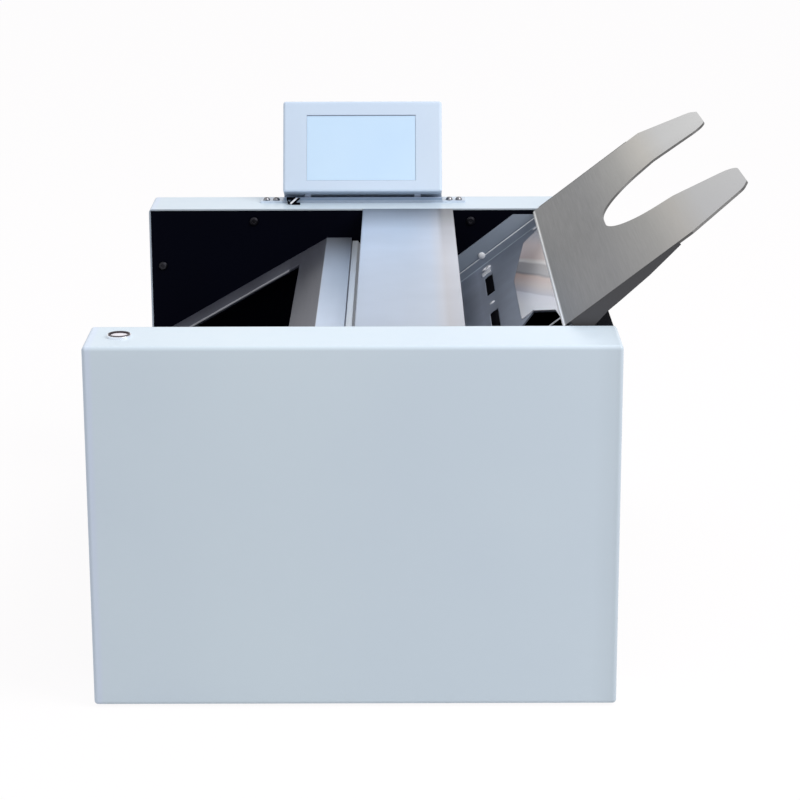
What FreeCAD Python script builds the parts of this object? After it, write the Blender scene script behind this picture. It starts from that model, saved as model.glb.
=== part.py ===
import FreeCAD, Part
import math
import os
import Sketcher
from types import SimpleNamespace

LEAST_CUT_SHARE = 1e-6

# Desktop machine that folds a stack of sheets into a booklet.
# X runs to the right along the front, Y runs back into the depth, Z is up.
# The origin is on the floor under the middle of the body.
# Sheets lie on a sloping bed, a knife lifts their middle into two fold rollers,
# and the booklet leaves between the top plate and the exit hood.

# Driving dimensions in millimetres and degrees.
SIZES = {
    # Body, covers and frame
    "body_width": 400, "body_height": 285, "side_gap": 460, "cover_depth": 62,
    "floor_gap": 2, "cover_sheet": 1.5, "cover_lip": 14, "cover_corner": 3,
    "plate_sheet": 3, "plate_gap": 0.5, "sheet": 1.5, "side_play": 0.3, "overrun": 5,
    "foot_height": 6, "foot_radius": 15, "foot_inset": 30, "base_sheet": 3, "base_flange": 13,
    "base_inset": 10, "end_flange": 12, "tie_bar_radius": 6,
    "screw_radius": 2, "screw_head_radius": 4, "screw_head_height": 2.2, "screw_length": 8,
    "thread_play": 0.1,
    # Sloping bed; its own frame starts at the knife slot on the bed surface
    "bed_angle": 37.5, "bed_zero_x": 57, "bed_zero_drop": 97.3, "bed_end_gap": 30.344,
    "bed_top_gap": 10.855, "bed_flange": 12, "bed_flange_gap": 24, "slot_width": 8, "slot_length": 70,
    "slot_pitch": 136, "knife_gap": 4.5, "lower_bed_end_gap": 70.562, "lower_bed_floor_gap": 35.641,
    "hatch_length": 36, "hatch_end_gap": 8, "hatch_far": 60, "hatch_bevel": 108, "hatch_near": 190,
    "wall_sheet": 2, "wall_height": 21.7, "wall_start": 8, "wall_slope_length": 16.5,
    "wall_end_height": 7.6, "rail_height": 7, "rail_inset": 1.5, "glide_sheet": 1,
    "glide_length": 41, "glide_end_gap": 1, "glide_far": 206, "glide_far_shoulder": 193,
    "glide_far_corner": 82, "glide_near": 140,
    # Tray with its two prongs
    "tray_overlap": 4, "tray_rise": 13.2, "tray_sheet": 2, "tray_half": 224,
    "tray_bend": 122.5, "tray_length": 178, "tray_tip_angle": 6.5, "tray_lip": 11,
    "tray_edge_radius": 2.6, "prong_half": 184, "prong_shoulder": 172, "prong_side": 168,
    "prong_outer_radius": 20, "prong_radius": 22, "notch_bottom": 61.5, "notch_half": 41, "notch_waist": 93.5,
    "notch_waist_half": 72, "notch_mouth_half": 105, "notch_radius": 70, "notch_waist_radius": 64,
    "arm_gap": 1.5, "arm_sheet": 2, "arm_flange": 12, "arm_length": 104.5, "arm_leg_inset": 5.2,
    "arm_leg_width": 15.5, "arm_leg_drop": 45.5, "spacer_radius": 5, "end_plate_drop": 17.7,
    # Exit hood, exit guide and top plate
    "hood_bend_x": 33, "hood_end_x": 10, "hood_drop": 27.4, "hood_angle": 30, "hood_flange": 12,
    "hood_lip": 14, "window_start": 28, "window_end_gap": 40.5, "window_half": 180,
    "guide_drop": 30.5, "guide_strip": 5, "guide_offset": 8, "guide_low": 47, "guide_high": 88,
    "top_plate_left": 0.4, "top_plate_right": 84.8, "top_left_flange": 10, "top_right_flange": 20,
    # Touch panel on its bracket
    "panel_width": 150, "panel_height": 87.3, "panel_depth": 25, "panel_tilt": 22,
    "panel_front_y": 250, "panel_front_rise": 12.4, "panel_corner": 2.5, "screen_width": 103,
    "screen_height": 63, "screen_low": 10.8, "screen_shift": 1.2, "screen_sheet": 1.2, "hinge_depth": 17.3,
    "hinge_pin_radius": 2, "hinge_lug_width": 6, "hinge_lug_x": 52, "hinge_lug_radius": 4.5,
    "bracket_side": 22, "bracket_front": 260, "bracket_back": 278, "bracket_sheet": 2,
    "bracket_screw_y": 263, "bracket_screw_pitch": 9, "bracket_screw_inset": 6,
    "bracket_head_radius": 3.2, "bracket_head_height": 2.6, "bracket_lip": 5, "hinge_rise": 4,
    "hinge_room": 2.5, "hinge_pin_over": 10, "screen_inset": 0.4,
    # Start button, power inlet and power switch
    "button_inset_x": 25, "button_inset_y": 31, "button_hole_radius": 8, "button_ring_radius": 9,
    "button_ring_rise": 2, "button_cap_radius": 7, "button_cap_drop": 0.4, "button_body_depth": 24,
    "button_nut_radius": 10.5, "button_nut_sheet": 3, "button_travel_room": 2.5, "button_skirt": 5.5,
    "inlet_x": 45, "inlet_z": 45, "inlet_width": 27, "inlet_height": 20, "inlet_depth": 22,
    "inlet_rim": 4, "inlet_rim_sheet": 2, "inlet_socket_width": 24, "inlet_socket_height": 16.5,
    "inlet_socket_depth": 16, "blade_width": 2, "blade_height": 4, "blade_length": 11,
    "blade_pitch": 7, "blade_rise": 2, "switch_z": 85, "switch_width": 22, "switch_height": 13,
    "switch_depth": 18, "switch_wall": 1.2, "rocker_rise": 2, "rocker_depth": 5, "rocker_play": 1.3,
    "rocker_pin_radius": 1.2, "rocker_pin_depth": 1,
    "vent_inset": 100, "vent_z": 200, "vent_length": 60, "vent_width": 4, "vent_pitch": 10,
    # Electronics
    "supply_end_gap": 20, "supply_width": 160, "supply_low": 40, "supply_height": 72,
    "supply_depth": 30, "board_end_gap": 20, "board_width": 140, "board_top_gap": 45,
    "board_height": 100, "board_sheet": 1.6, "board_part_height": 12, "standoff_length": 10,
    "standoff_radius": 3, "standoff_inset": 6,
    # Motors, pulleys and belts
    "motor_end_gap": 50, "motor_z": 45, "motor_width": 42, "motor_depth": 40, "motor_corner": 4,
    "motor_boss_radius": 11, "motor_boss_height": 2, "motor_shaft_radius": 2.5,
    "motor_shaft_engaged": 6, "pulley_radius": 10, "pulley_flange": 2.5, "pulley_rim": 1,
    "belt_width": 6, "belt_sheet": 1.5, "belt_play": 0.3, "belt_side_play": 0.5,
    "gear_layer": 7, "gear_width": 10, "layer_gap": 3, "running_play": 0.05,
    # Fold rollers, feed roller
    "nip_rise": 30, "nip_gap": 0.6, "roller_radius": 15, "gear_teeth": 18,
    "roller_half": 218, "shaft_radius": 6, "bearing_radius": 9, "bearing_flange_radius": 11,
    "bearing_flange_sheet": 1.5, "bearing_stub": 1.5,
    "feed_end_gap": 67, "feed_radius": 12, "feed_rise": 0.4,
    "feed_sleeve_length": 64,
    # Knife
    "blade_sheet": 0.8, "blade_half": 208, "knife_rest": 4, "knife_blade_depth": 58,
    "beam_sheet": 10, "beam_top": 42, "beam_depth": 28, "beam_half": 212, "knife_rail_width": 16,
    "knife_rail_sheet": 8, "knife_rail_low": 76, "knife_rail_top": 10, "shoe_wall": 5,
    "shoe_end_play": 2, "rack_y": 178, "rack_width": 8, "rack_back": 5.3, "rack_teeth": 12,
    "rack_teeth_below": 8, "tooth_size": 1.5, "pinion_teeth": 16, "pinion_across": 20,
    "pinion_along": 90,
    # Sheet stop
    "stop_low_gap": 3, "stop_high": 76, "stop_rod_radius": 4, "stop_rod_drop": 20, "stop_rod_y": 150,
    "stop_past_middle": 3, "stop_bar_width": 20, "stop_bar_drop": 4, "stop_bar_sheet": 6,
    "stop_bar_half": 190, "stop_finger_rise": 15, "stop_finger_width": 6, "stop_finger_depth": 5,
    "stop_finger_pitch": 110, "stop_slot_width": 9, "stop_slot_start": 84, "stop_slot_gap": 3,
    "stop_block_width": 18, "stop_plate_sheet": 2, "stop_plate_drop": 29, "stop_plate_length": 46,
    "stop_motor_width": 35, "stop_motor_depth": 34, "stop_motor_along": 104,
    "stop_idler_gap": 13, "stop_pulley_radius": 8, "stop_belt_drop": 22,
    "idler_pin_radius": 2.5, "round_small": 1, "edge_reach": 0.01, "tip_reach": 3,
}

doc = FreeCAD.newDocument("folding_machine")
sheet_cells = doc.addObject("Spreadsheet::Sheet", "Sizes")
for row, (word, amount) in enumerate(SIZES.items(), start=1):
    sheet_cells.set("A%d" % row, word)
    sheet_cells.set("B%d" % row, str(amount))
    sheet_cells.setAlias("B%d" % row, word)
doc.recompute()


class Dim:
    """A size held both as a number and as the sheet formula that gives it."""

    def __init__(self, value, formula):
        self.value = value
        self.formula = formula

    def combine(self, sign, other, value):
        return Dim(value, "(%s %s %s)" % (self.formula, sign, as_dim(other).formula))

    def __add__(self, other):
        return self.combine("+", other, self.value + as_dim(other).value)

    def __sub__(self, other):
        return self.combine("-", other, self.value - as_dim(other).value)

    def __mul__(self, other):
        return self.combine("*", other, self.value * as_dim(other).value)

    def __truediv__(self, other):
        return self.combine("/", other, self.value / as_dim(other).value)

    def __neg__(self):
        return Dim(-self.value, "(-1 * %s)" % self.formula)


def as_dim(amount):
    """Let a plain number stand beside the named sizes."""
    return amount if isinstance(amount, Dim) else Dim(float(amount), repr(float(amount)))


def cos(angle):
    """Cosine of a named angle in degrees."""
    return Dim(math.cos(math.radians(angle.value)), "cos(%s)" % angle.formula)


def sin(angle):
    """Sine of a named angle in degrees."""
    return Dim(math.sin(math.radians(angle.value)), "sin(%s)" % angle.formula)


def tan(angle):
    """Tangent of a named angle in degrees."""
    return Dim(math.tan(math.radians(angle.value)), "tan(%s)" % angle.formula)


def length_of(along, up):
    """Length of the line whose two legs are given."""
    return Dim(math.hypot(along.value, up.value), "hypot(%s; %s)" % (along.formula, up.formula))


def shorter_of(first, second):
    """The shorter of two lengths."""
    return Dim(min(first.value, second.value), "min(%s; %s)" % (first.formula, second.formula))


def heading_of(along, up):
    """Angle in degrees of the line whose two legs are given."""
    angle = math.degrees(math.atan2(up.value, along.value))
    return Dim(angle, "atan2(%s; %s)" % (up.formula, along.formula))


size = SimpleNamespace(**{word: Dim(float(amount), "Sizes." + word) for word, amount in SIZES.items()})
parts = {}
cuts = []
NOTHING = as_dim(0)
Y_TURN = FreeCAD.Vector(0, -1, 0)
PLANE_AXES = {"XY": 1, "XZ": -1, "YZ": 1}


def bind(item, name, amount):
    """Tie one property of an object to the sheet."""
    item.setExpression(name, as_dim(amount).formula)


def place(item, base, axis=None, angle=None):
    """Move an object to its base point and turn it, both tied to the sheet."""
    numbers = [as_dim(amount).value for amount in base]
    turn = FreeCAD.Rotation(axis, as_dim(angle).value) if axis else FreeCAD.Rotation()
    item.Placement = FreeCAD.Placement(FreeCAD.Vector(*numbers), turn)
    for letter, amount in zip("xyz", base):
        bind(item, "Placement.Base." + letter, amount)
    if axis:
        bind(item, "Placement.Rotation.Angle", angle)
    return item


def register(item, label):
    """Keep an object as a finished piece of the machine."""
    item.Label = label
    parts[label] = item
    return item


def new_body(label):
    """Start a piece made of sketched features."""
    return register(doc.addObject("PartDesign::Body", "Body_" + label), label)


def origin_plane(body, plane):
    """One of the three planes of a body's own origin."""
    role = plane + "_Plane"
    return next(item for item in body.Origin.OriginFeatures if item.Role == role)


def fix_point(sketch, element, point, at):
    """Hold one sketch point at a place measured from the sketch's zero."""
    for kind, amount in zip(("DistanceX", "DistanceY"), at):
        index = sketch.addConstraint(Sketcher.Constraint(kind, -1, 1, element, point, as_dim(amount).value))
        sketch.setExpression("Constraints[%d]" % index, as_dim(amount).formula)


def draw(body, plane, level, loops, circles):
    """Sketch closed outlines and circles on a plane at a level along its world axis."""
    sketch = body.newObject("Sketcher::SketchObject", "Sketch")
    sketch.AttachmentSupport = (origin_plane(body, plane), [""])
    sketch.MapMode = "FlatFace"
    bind(sketch, "AttachmentOffset.Base.z", as_dim(level) * PLANE_AXES[plane])
    for loop in loops:
        corners = [FreeCAD.Vector(as_dim(a).value, as_dim(b).value, 0) for a, b in loop]
        count = len(corners)
        first = sketch.GeometryCount
        for here, there in zip(corners, corners[1:] + corners[:1]):
            sketch.addGeometry(Part.LineSegment(here, there))
        for step in range(count):
            after = first + (step + 1) % count
            sketch.addConstraint(Sketcher.Constraint("Coincident", first + step, 2, after, 1))
        for step, corner in enumerate(loop):
            fix_point(sketch, first + step, 1, corner)
    for a, b, radius in circles:
        centre = FreeCAD.Vector(as_dim(a).value, as_dim(b).value, 0)
        circle = sketch.addGeometry(Part.Circle(centre, FreeCAD.Vector(0, 0, 1), as_dim(radius).value))
        fix_point(sketch, circle, 3, (a, b))
        index = sketch.addConstraint(Sketcher.Constraint("Radius", circle, as_dim(radius).value))
        sketch.setExpression("Constraints[%d]" % index, as_dim(radius).formula)
    return sketch


def pad(body, plane, start, stop, loops=(), circles=()):
    """Add a solid between two levels along the plane's world axis."""
    start, stop = as_dim(start), as_dim(stop)
    sketch = draw(body, plane, stop if plane == "XZ" else start, loops, circles)
    feature = body.newObject("PartDesign::Pad", "Pad")
    feature.Profile = sketch
    bind(feature, "Length", stop - start)
    return feature


def pocket(body, plane, start, stop, loops=(), circles=()):
    """Cut a hollow between two levels along the plane's world axis."""
    start, stop = as_dim(start), as_dim(stop)
    sketch = draw(body, plane, start if plane == "XZ" else stop, loops, circles)
    feature = body.newObject("PartDesign::Pocket", "Pocket")
    feature.Profile = sketch
    bind(feature, "Length", stop - start)
    cuts.append(feature)
    return feature


def box_loop(low_a, high_a, low_b, high_b):
    """Corners of a rectangle."""
    return [(low_a, low_b), (high_a, low_b), (high_a, high_b), (low_a, high_b)]


def round_edges(body, radius, wanted):
    """Round the edges that a test picks out."""
    doc.recompute()
    base = body.Tip
    names = ["Edge%d" % number for number, edge in enumerate(base.Shape.Edges, start=1) if wanted(edge)]
    feature = body.newObject("PartDesign::Fillet", "Fillet")
    feature.Base = (base, names)
    bind(feature, "Radius", radius)
    return feature


def near(edge, place_a, place_b, letters, reach=size.edge_reach):
    """True for a straight edge that runs across both given coordinates."""
    centre = edge.CenterOfMass
    return (abs(getattr(centre, letters[0]) - as_dim(place_a).value) < reach.value
            and abs(getattr(centre, letters[1]) - as_dim(place_b).value) < reach.value)


def world(along, rise):
    """X and Z of a point given along the bed and above its surface."""
    turn_cos, turn_sin = cos(size.bed_angle), sin(size.bed_angle)
    across = size.bed_zero_x + as_dim(along) * turn_cos - as_dim(rise) * turn_sin
    height = size.body_height - size.bed_zero_drop + as_dim(along) * turn_sin + as_dim(rise) * turn_cos
    return across, height


def on_bed(item, across=NOTHING):
    """Lay an object in the bed's own sloping frame."""
    base_x, base_z = world(0, 0)
    return place(item, (base_x, across, base_z), Y_TURN, size.bed_angle)


def side_span(side, inner, outer):
    """Two Y levels in rising order, for the front side (-1) or the rear side (1)."""
    return (as_dim(inner), as_dim(outer)) if side > 0 else (-as_dim(outer), -as_dim(inner))


half_width = size.body_width / 2
half_gap = size.side_gap / 2
plate_face = half_gap + size.plate_sheet
cover_face = half_gap + size.cover_depth
cover_inside = half_width - size.cover_sheet
plate_edge = cover_inside - size.plate_gap
plate_low = size.floor_gap + size.cover_sheet + size.plate_gap
plate_top = size.body_height - size.cover_sheet - size.plate_gap
SIDES = {"front": -1, "rear": 1}

bed_zero_z = size.body_height - size.bed_zero_drop
bed_length = shorter_of((half_width - size.bed_end_gap - size.bed_zero_x) / cos(size.bed_angle),
                        (size.bed_zero_drop - size.bed_top_gap) / sin(size.bed_angle))
base_top = size.foot_height + size.base_sheet
lower_bed_length = shorter_of((bed_zero_z - base_top - size.lower_bed_floor_gap) / sin(size.bed_angle),
                              (size.bed_zero_x + half_width - size.lower_bed_end_gap) / cos(size.bed_angle))
tray_start = bed_length - size.tray_overlap
arm_start = bed_length + size.arm_gap
feed_along = bed_length - size.feed_end_gap
hatch_end = bed_length - size.hatch_end_gap
hatch_start = hatch_end - size.hatch_length

nip_offset = size.roller_radius + size.nip_gap / 2
upper_roller_place = world(nip_offset, size.nip_rise)
lower_roller_place = world(-nip_offset, size.nip_rise)
feed_drop = size.feed_radius - size.feed_rise
feed_place = world(feed_along, -feed_drop)
pinion_place = world(size.pinion_across, -size.pinion_along)
motor_place = (half_width - size.motor_end_gap, size.motor_z)

screw_rows_x = size.body_width * 0.254
screw_top_z = plate_top - size.cover_lip * 0.7
screw_side_z = size.body_height * 0.81
screw_low_z = size.floor_gap + size.cover_sheet + size.cover_lip * 0.75
cover_screw_places = [(-screw_rows_x, screw_top_z), (screw_rows_x, screw_top_z),
                      (-(cover_inside - size.cover_lip * 0.75), screw_side_z)]
base_screw_places = [(-screw_rows_x, screw_low_z), (screw_rows_x, screw_low_z)]
tie_bar_places = [(-half_width * 0.825, size.body_height * 0.42),
                  (half_width * 0.2, size.body_height * 0.105),
                  (half_width * 0.88, size.body_height * 0.35)]
arm_screw_places = [world(arm_start + size.spacer_radius * 0.7, -size.spacer_radius * 2.2),
                    world(arm_start - size.spacer_radius * 2.6, -size.spacer_radius * 5.5)]
button_x = size.button_inset_x - half_width
button_y = size.button_inset_y - cover_face
supply_left = size.supply_end_gap - half_width
board_left = size.board_end_gap - half_width
bracket_half = size.panel_width / 2 + size.bracket_side
board_low = size.body_height - size.board_top_gap - size.board_height


def make_cover(side_name):
    """Sheet steel side cover, open towards the frame plate, with inward lips behind it."""
    side = SIDES[side_name]
    body = new_body(side_name + "_cover")
    low, top = size.floor_gap, size.body_height
    pad(body, "XZ", *side_span(side, half_gap, cover_face), [box_loop(-half_width, half_width, low, top)])
    outer_y = cover_face * side
    round_edges(body, size.cover_corner, lambda edge: on_cover_rim(edge, outer_y))
    inside = box_loop(-cover_inside, cover_inside, low + size.cover_sheet, top - size.cover_sheet)
    lip_edge = cover_inside - size.cover_lip
    mouth = box_loop(-lip_edge, lip_edge, low + size.cover_sheet + size.cover_lip,
                     top - size.cover_sheet - size.cover_lip)
    lip_back = plate_face + size.cover_sheet
    pocket(body, "XZ", *side_span(side, half_gap, plate_face), [inside])
    holes = [(x, z, size.screw_radius) for x, z in cover_screw_places + base_screw_places]
    pocket(body, "XZ", *side_span(side, plate_face, lip_back), [mouth], holes)
    pocket(body, "XZ", *side_span(side, lip_back, cover_face - size.cover_sheet), [inside])
    return body


def on_cover_rim(edge, outer_y):
    """True for the outer edges of a cover, apart from those that meet the frame plate."""
    box = edge.BoundBox
    inner_y = half_gap.value if outer_y.value > 0 else -half_gap.value
    return abs(box.YMin - inner_y) > size.edge_reach.value or box.YLength > size.round_small.value


def make_front_cover():
    """Front cover with the hole of the start button in its top."""
    body = make_cover("front")
    top = size.body_height
    hole = (button_x, button_y, size.button_hole_radius)
    pocket(body, "XY", top - size.cover_sheet, top + size.overrun, circles=[hole])


def make_rear_cover():
    """Rear cover with the power inlet, the power switch, air slots and bracket screw holes."""
    body = make_cover("rear")
    inner = cover_face - size.cover_sheet
    holes = [centred_loop(size.inlet_x, size.inlet_z, size.inlet_width, size.inlet_height),
             centred_loop(size.inlet_x, size.switch_z, size.switch_width, size.switch_height)]
    for row in range(-2, 3):
        level = size.vent_z + size.vent_pitch * row
        holes.append(centred_loop(size.vent_inset - half_width, level, size.vent_length, size.vent_width))
    pocket(body, "XZ", inner, cover_face + size.overrun, holes)
    top = size.body_height
    screw_holes = [(x, size.bracket_screw_y, size.screw_radius) for x in bracket_screw_xs()]
    pocket(body, "XY", top - size.cover_sheet, top + size.overrun, circles=screw_holes)


def centred_loop(x, y, width, height):
    """Corners of a rectangle about its centre."""
    x, y = as_dim(x), as_dim(y)
    return box_loop(x - width / 2, x + width / 2, y - height / 2, y + height / 2)


def bracket_screw_xs():
    """X places of the four screws that hold the panel bracket."""
    outer = bracket_half - size.bracket_screw_inset
    inner = outer - size.bracket_screw_pitch
    return [-outer, -inner, inner, outer]


def make_frame_plate(side_name):
    """Steel side plate that carries every shaft, bar and guide."""
    side = SIDES[side_name]
    body = new_body(side_name + "_frame_plate")
    bearing_hole = size.bearing_radius + size.running_play
    shafts = [upper_roller_place, lower_roller_place, feed_place, pinion_place]
    screws = cover_screw_places + base_screw_places + tie_bar_places + arm_screw_places
    circles = [(x, z, bearing_hole) for x, z in shafts]
    circles.append((*motor_place, size.motor_boss_radius + size.running_play))
    circles += [(x, z, size.screw_radius) for x, z in screws]
    outline = box_loop(-plate_edge, plate_edge, plate_low, plate_top)
    pad(body, "XZ", *side_span(side, half_gap, plate_face), [outline], circles)
    if side > 0:
        standoffs = [(x, z, size.standoff_radius) for x, z in board_corners()]
        pad(body, "XZ", plate_face, plate_face + size.standoff_length, circles=standoffs)


def board_corners():
    """X and Z of the four standoffs of the control board, which are pressed into the rear plate."""
    inset = size.standoff_inset
    return [(x, z) for x in (board_left + inset, board_left + size.board_width - inset)
            for z in (board_low + inset, board_low + size.board_height - inset)]


def make_base_plate():
    """Floor channel whose side flanges are screwed to the frame plates."""
    body = new_body("base_plate")
    end = plate_edge - size.base_inset
    low = size.foot_height
    pad(body, "XY", low, low + size.base_sheet, [box_loop(-end, end, -half_gap, half_gap)])
    flange_top = low + size.base_flange
    holes = [(x, z, size.screw_radius) for x, z in base_screw_places]
    flange_end = plate_edge - size.end_flange
    for side in SIDES.values():
        levels = side_span(side, half_gap - size.base_sheet, half_gap)
        pad(body, "XZ", *levels, [box_loop(-flange_end, flange_end, low, flange_top)], holes)


def make_rubber_feet():
    """Four rubber feet under the base plate."""
    feet = []
    reach_x = half_width - size.foot_inset
    reach_y = half_gap - size.foot_inset
    for x in (-reach_x, reach_x):
        for y in (-reach_y, reach_y):
            foot = doc.addObject("Part::Cone", "Foot")
            bind(foot, "Radius1", size.foot_radius - size.round_small)
            bind(foot, "Radius2", size.foot_radius)
            bind(foot, "Height", size.foot_height)
            feet.append(place(foot, (x, y, NOTHING)))
    group("rubber_feet", feet)


def group(label, members):
    """Several separate solids kept as one piece of the list."""
    compound = doc.addObject("Part::Compound", "Group_" + label)
    compound.Links = members
    return register(compound, label)


def make_end_plate(label, side, top, flange):
    """Upright end sheet between the frame plates, with side flanges against them."""
    body = new_body(label)
    face = plate_edge * side
    inner = (plate_edge - size.sheet) * side
    levels = (inner, face) if side > 0 else (face, inner)
    low = size.foot_height + size.base_sheet
    pad(body, "YZ", *levels, [box_loop(-half_gap, half_gap, low, top)])
    flange_end = (plate_edge - size.end_flange) * side
    across = (flange_end, face) if side > 0 else (face, flange_end)
    for y_side in SIDES.values():
        y_levels = side_span(y_side, half_gap - size.sheet, half_gap)
        pad(body, "XZ", *y_levels, [box_loop(*across, low, top)])
    if flange:
        pad(body, "XY", as_dim(top) - size.sheet, top, [box_loop(*across, -half_gap, half_gap)])


def make_tie_bars():
    """Three round bars that hold the frame plates apart, with a threaded hole in each end."""
    bars = []
    for x, z in tie_bar_places:
        bar = y_cylinder("Tie_bar", x, z, -half_gap, half_gap, size.tie_bar_radius)
        depth = size.screw_length
        holes = [y_cylinder("Thread", x, z, *side_span(side, half_gap - depth, half_gap + size.overrun),
                            size.screw_radius) for side in SIDES.values()]
        bars.append(cut_away(bar, holes))
    group("tie_bars", bars)


def y_cylinder(name, x, z, start, stop, radius):
    """Round solid along Y between two levels."""
    start, stop = as_dim(start), as_dim(stop)
    item = doc.addObject("Part::Cylinder", name)
    bind(item, "Radius", radius)
    bind(item, "Height", stop - start)
    return place(item, (x, stop, z), FreeCAD.Vector(1, 0, 0), 90)


def fuse(items):
    """Join solids that touch into one."""
    item = doc.addObject("Part::MultiFuse", "Joined")
    item.Shapes = items
    return item


def cut_away(base, tools):
    """Take solids away from another solid."""
    item = doc.addObject("Part::Cut", "Cut")
    item.Base = base
    item.Tool = fuse(tools) if len(tools) > 1 else tools[0]
    return item


def make_screw(name, head_radius, head_height, shank_radius, shank_length):
    """One screw with a domed head and a hex socket; its head sits on its own XY plane."""
    body = doc.addObject("PartDesign::Body", name)
    edge = head_height * 0.35
    crown = head_radius * 0.7
    loop = [(NOTHING, -shank_length), (shank_radius, -shank_length), (shank_radius, NOTHING),
            (head_radius, NOTHING), (head_radius, edge), (crown, head_height), (NOTHING, head_height)]
    sketch = draw(body, "XZ", NOTHING, [loop], [])
    turned = body.newObject("PartDesign::Revolution", "Turned")
    turned.Profile = sketch
    turned.ReferenceAxis = (sketch, ["V_Axis"])
    turned.Angle = 360
    socket = head_radius * 0.45
    hexagon = [(socket * math.cos(math.radians(60 * k)), socket * math.sin(math.radians(60 * k)))
               for k in range(6)]
    pocket(body, "XY", head_height * 0.45, head_height + size.overrun, [hexagon])
    return body


def copies(template, places):
    """Copies of one screw; each place holds its base point, its turn axis and its angle."""
    links = []
    for base, axis, angle in places:
        link = doc.addObject("App::Link", "Screw")
        link.LinkedObject = template
        links.append(place(link, base, axis, angle))
    return links


X_AXIS = FreeCAD.Vector(1, 0, 0)


def inner_face_places(places, level):
    """Screws on both frame plates with their heads towards the middle of the machine."""
    return [((x, level * side, z), X_AXIS, 90 * side) for side in SIDES.values() for x, z in places]


def outer_face_places(places, level):
    """Screws on both frame plates with their heads towards the covers."""
    return [((x, level * side, z), X_AXIS, -90 * side) for side in SIDES.values() for x, z in places]


def make_frame_screws():
    """Screws of the covers, the base plate, the tie bars and the tray arms."""
    inside, outside = inner_face_places, outer_face_places
    arm_length = half_gap - size.tray_half + size.plate_sheet
    sheets = size.plate_sheet + size.cover_sheet
    kinds = [(sheets, inside(cover_screw_places, half_gap)),
             (size.base_sheet + sheets, inside(base_screw_places, half_gap - size.base_sheet)),
             (size.screw_length, outside(tie_bar_places, plate_face)),
             (arm_length, inside(arm_screw_places, size.tray_half))]
    screws = []
    for length, places in kinds:
        screw = make_screw("Frame_screw", size.screw_head_radius, size.screw_head_height,
                           size.screw_radius - size.thread_play, length)
        screws += copies(screw, places)
    group("frame_screws", screws)


make_front_cover()
make_rear_cover()
for name in SIDES:
    make_frame_plate(name)
make_base_plate()
make_rubber_feet()
tray_under = size.tray_rise - size.tray_sheet
flange_edge = plate_edge - size.end_flange
tray_run = flange_edge - size.bed_zero_x + tray_under * sin(size.bed_angle)
right_end_top = (bed_zero_z + tray_run * tan(size.bed_angle) + tray_under * cos(size.bed_angle)
                 - size.end_plate_drop)
make_end_plate("right_end_plate", 1, shorter_of(right_end_top, plate_top), True)
make_tie_bars()
make_frame_screws()


def local(across, height):
    """Distance along the bed and above it, for a point given by its X and Z."""
    turn_cos, turn_sin = cos(size.bed_angle), sin(size.bed_angle)
    zero_x, zero_z = world(0, 0)
    run, climb = as_dim(across) - zero_x, as_dim(height) - zero_z
    return run * turn_cos + climb * turn_sin, climb * turn_cos - run * turn_sin


def bed_sheet(body, start, end, flange_start, flange_end):
    """Sheet under the paper with a flange down each side, against the frame plates."""
    pad(body, "XY", -size.sheet, NOTHING, [box_loop(start, end, -half_gap, half_gap)])
    for side in SIDES.values():
        levels = side_span(side, half_gap - size.sheet, half_gap)
        pad(body, "XZ", *levels, [box_loop(flange_start, flange_end, -size.bed_flange, NOTHING)])


def make_upper_bed():
    """Sloping bed above the knife, with three roller slots and a hatch at the near side."""
    body = new_body("upper_bed")
    bed_sheet(body, size.knife_gap, bed_length, size.knife_rail_width, bed_length - size.bed_flange_gap)
    for row in (-1, 0, 1):
        middle = size.slot_pitch * row
        slot = centred_loop(feed_along, middle, size.slot_width, size.slot_length)
        pocket(body, "XY", -size.overrun, size.overrun, [slot])
        scoop = (feed_along, -feed_drop, size.feed_radius + size.side_play)
        half = size.slot_length / 2
        pocket(body, "XZ", middle - half, middle + half, circles=[scoop])
    shaft_hole = (feed_along, -feed_drop, size.bearing_radius)
    for side in SIDES.values():
        levels = side_span(side, half_gap - size.sheet - size.overrun, half_gap)
        pocket(body, "XZ", *levels, circles=[shaft_hole])
    pocket(body, "XY", -size.overrun, size.overrun, [hatch_loop()])
    on_bed(body)


def hatch_corner():
    """Upper corner of the hatch, shared with the edge of the glide plate."""
    return hatch_start + size.hatch_length * 0.38, -size.hatch_far


def hatch_loop():
    """Outline of the hatch in the near side of the bed."""
    corner_x, corner_y = hatch_corner()
    bevel_x = hatch_end - size.hatch_length * 0.07
    return [(hatch_start, -size.hatch_far * 1.33), (corner_x, corner_y),
            (bevel_x, -size.hatch_bevel), (hatch_end, -size.glide_near),
            (hatch_end, -size.hatch_near), (hatch_start, -size.hatch_near)]


def make_glide_plate():
    """Polished plate on the bed that the sheets slide over."""
    body = new_body("glide_plate")
    corner_x, corner_y = hatch_corner()
    bevel_x = hatch_end - size.hatch_length * 0.07
    glide_end = bed_length - size.glide_end_gap
    glide_start = glide_end - size.glide_length
    shoulder_x = glide_start + (hatch_end - glide_start) * 0.5
    loop = [(glide_end, size.glide_far), (hatch_end, size.glide_far),
            (shoulder_x, size.glide_far_shoulder), (glide_start, size.glide_far_corner),
            (glide_start, corner_y), (corner_x, corner_y), (bevel_x, -size.hatch_bevel),
            (hatch_end, -size.glide_near), (glide_end, -size.glide_near)]
    pad(body, "XY", NOTHING, size.glide_sheet, [loop])
    on_bed(body)


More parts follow.
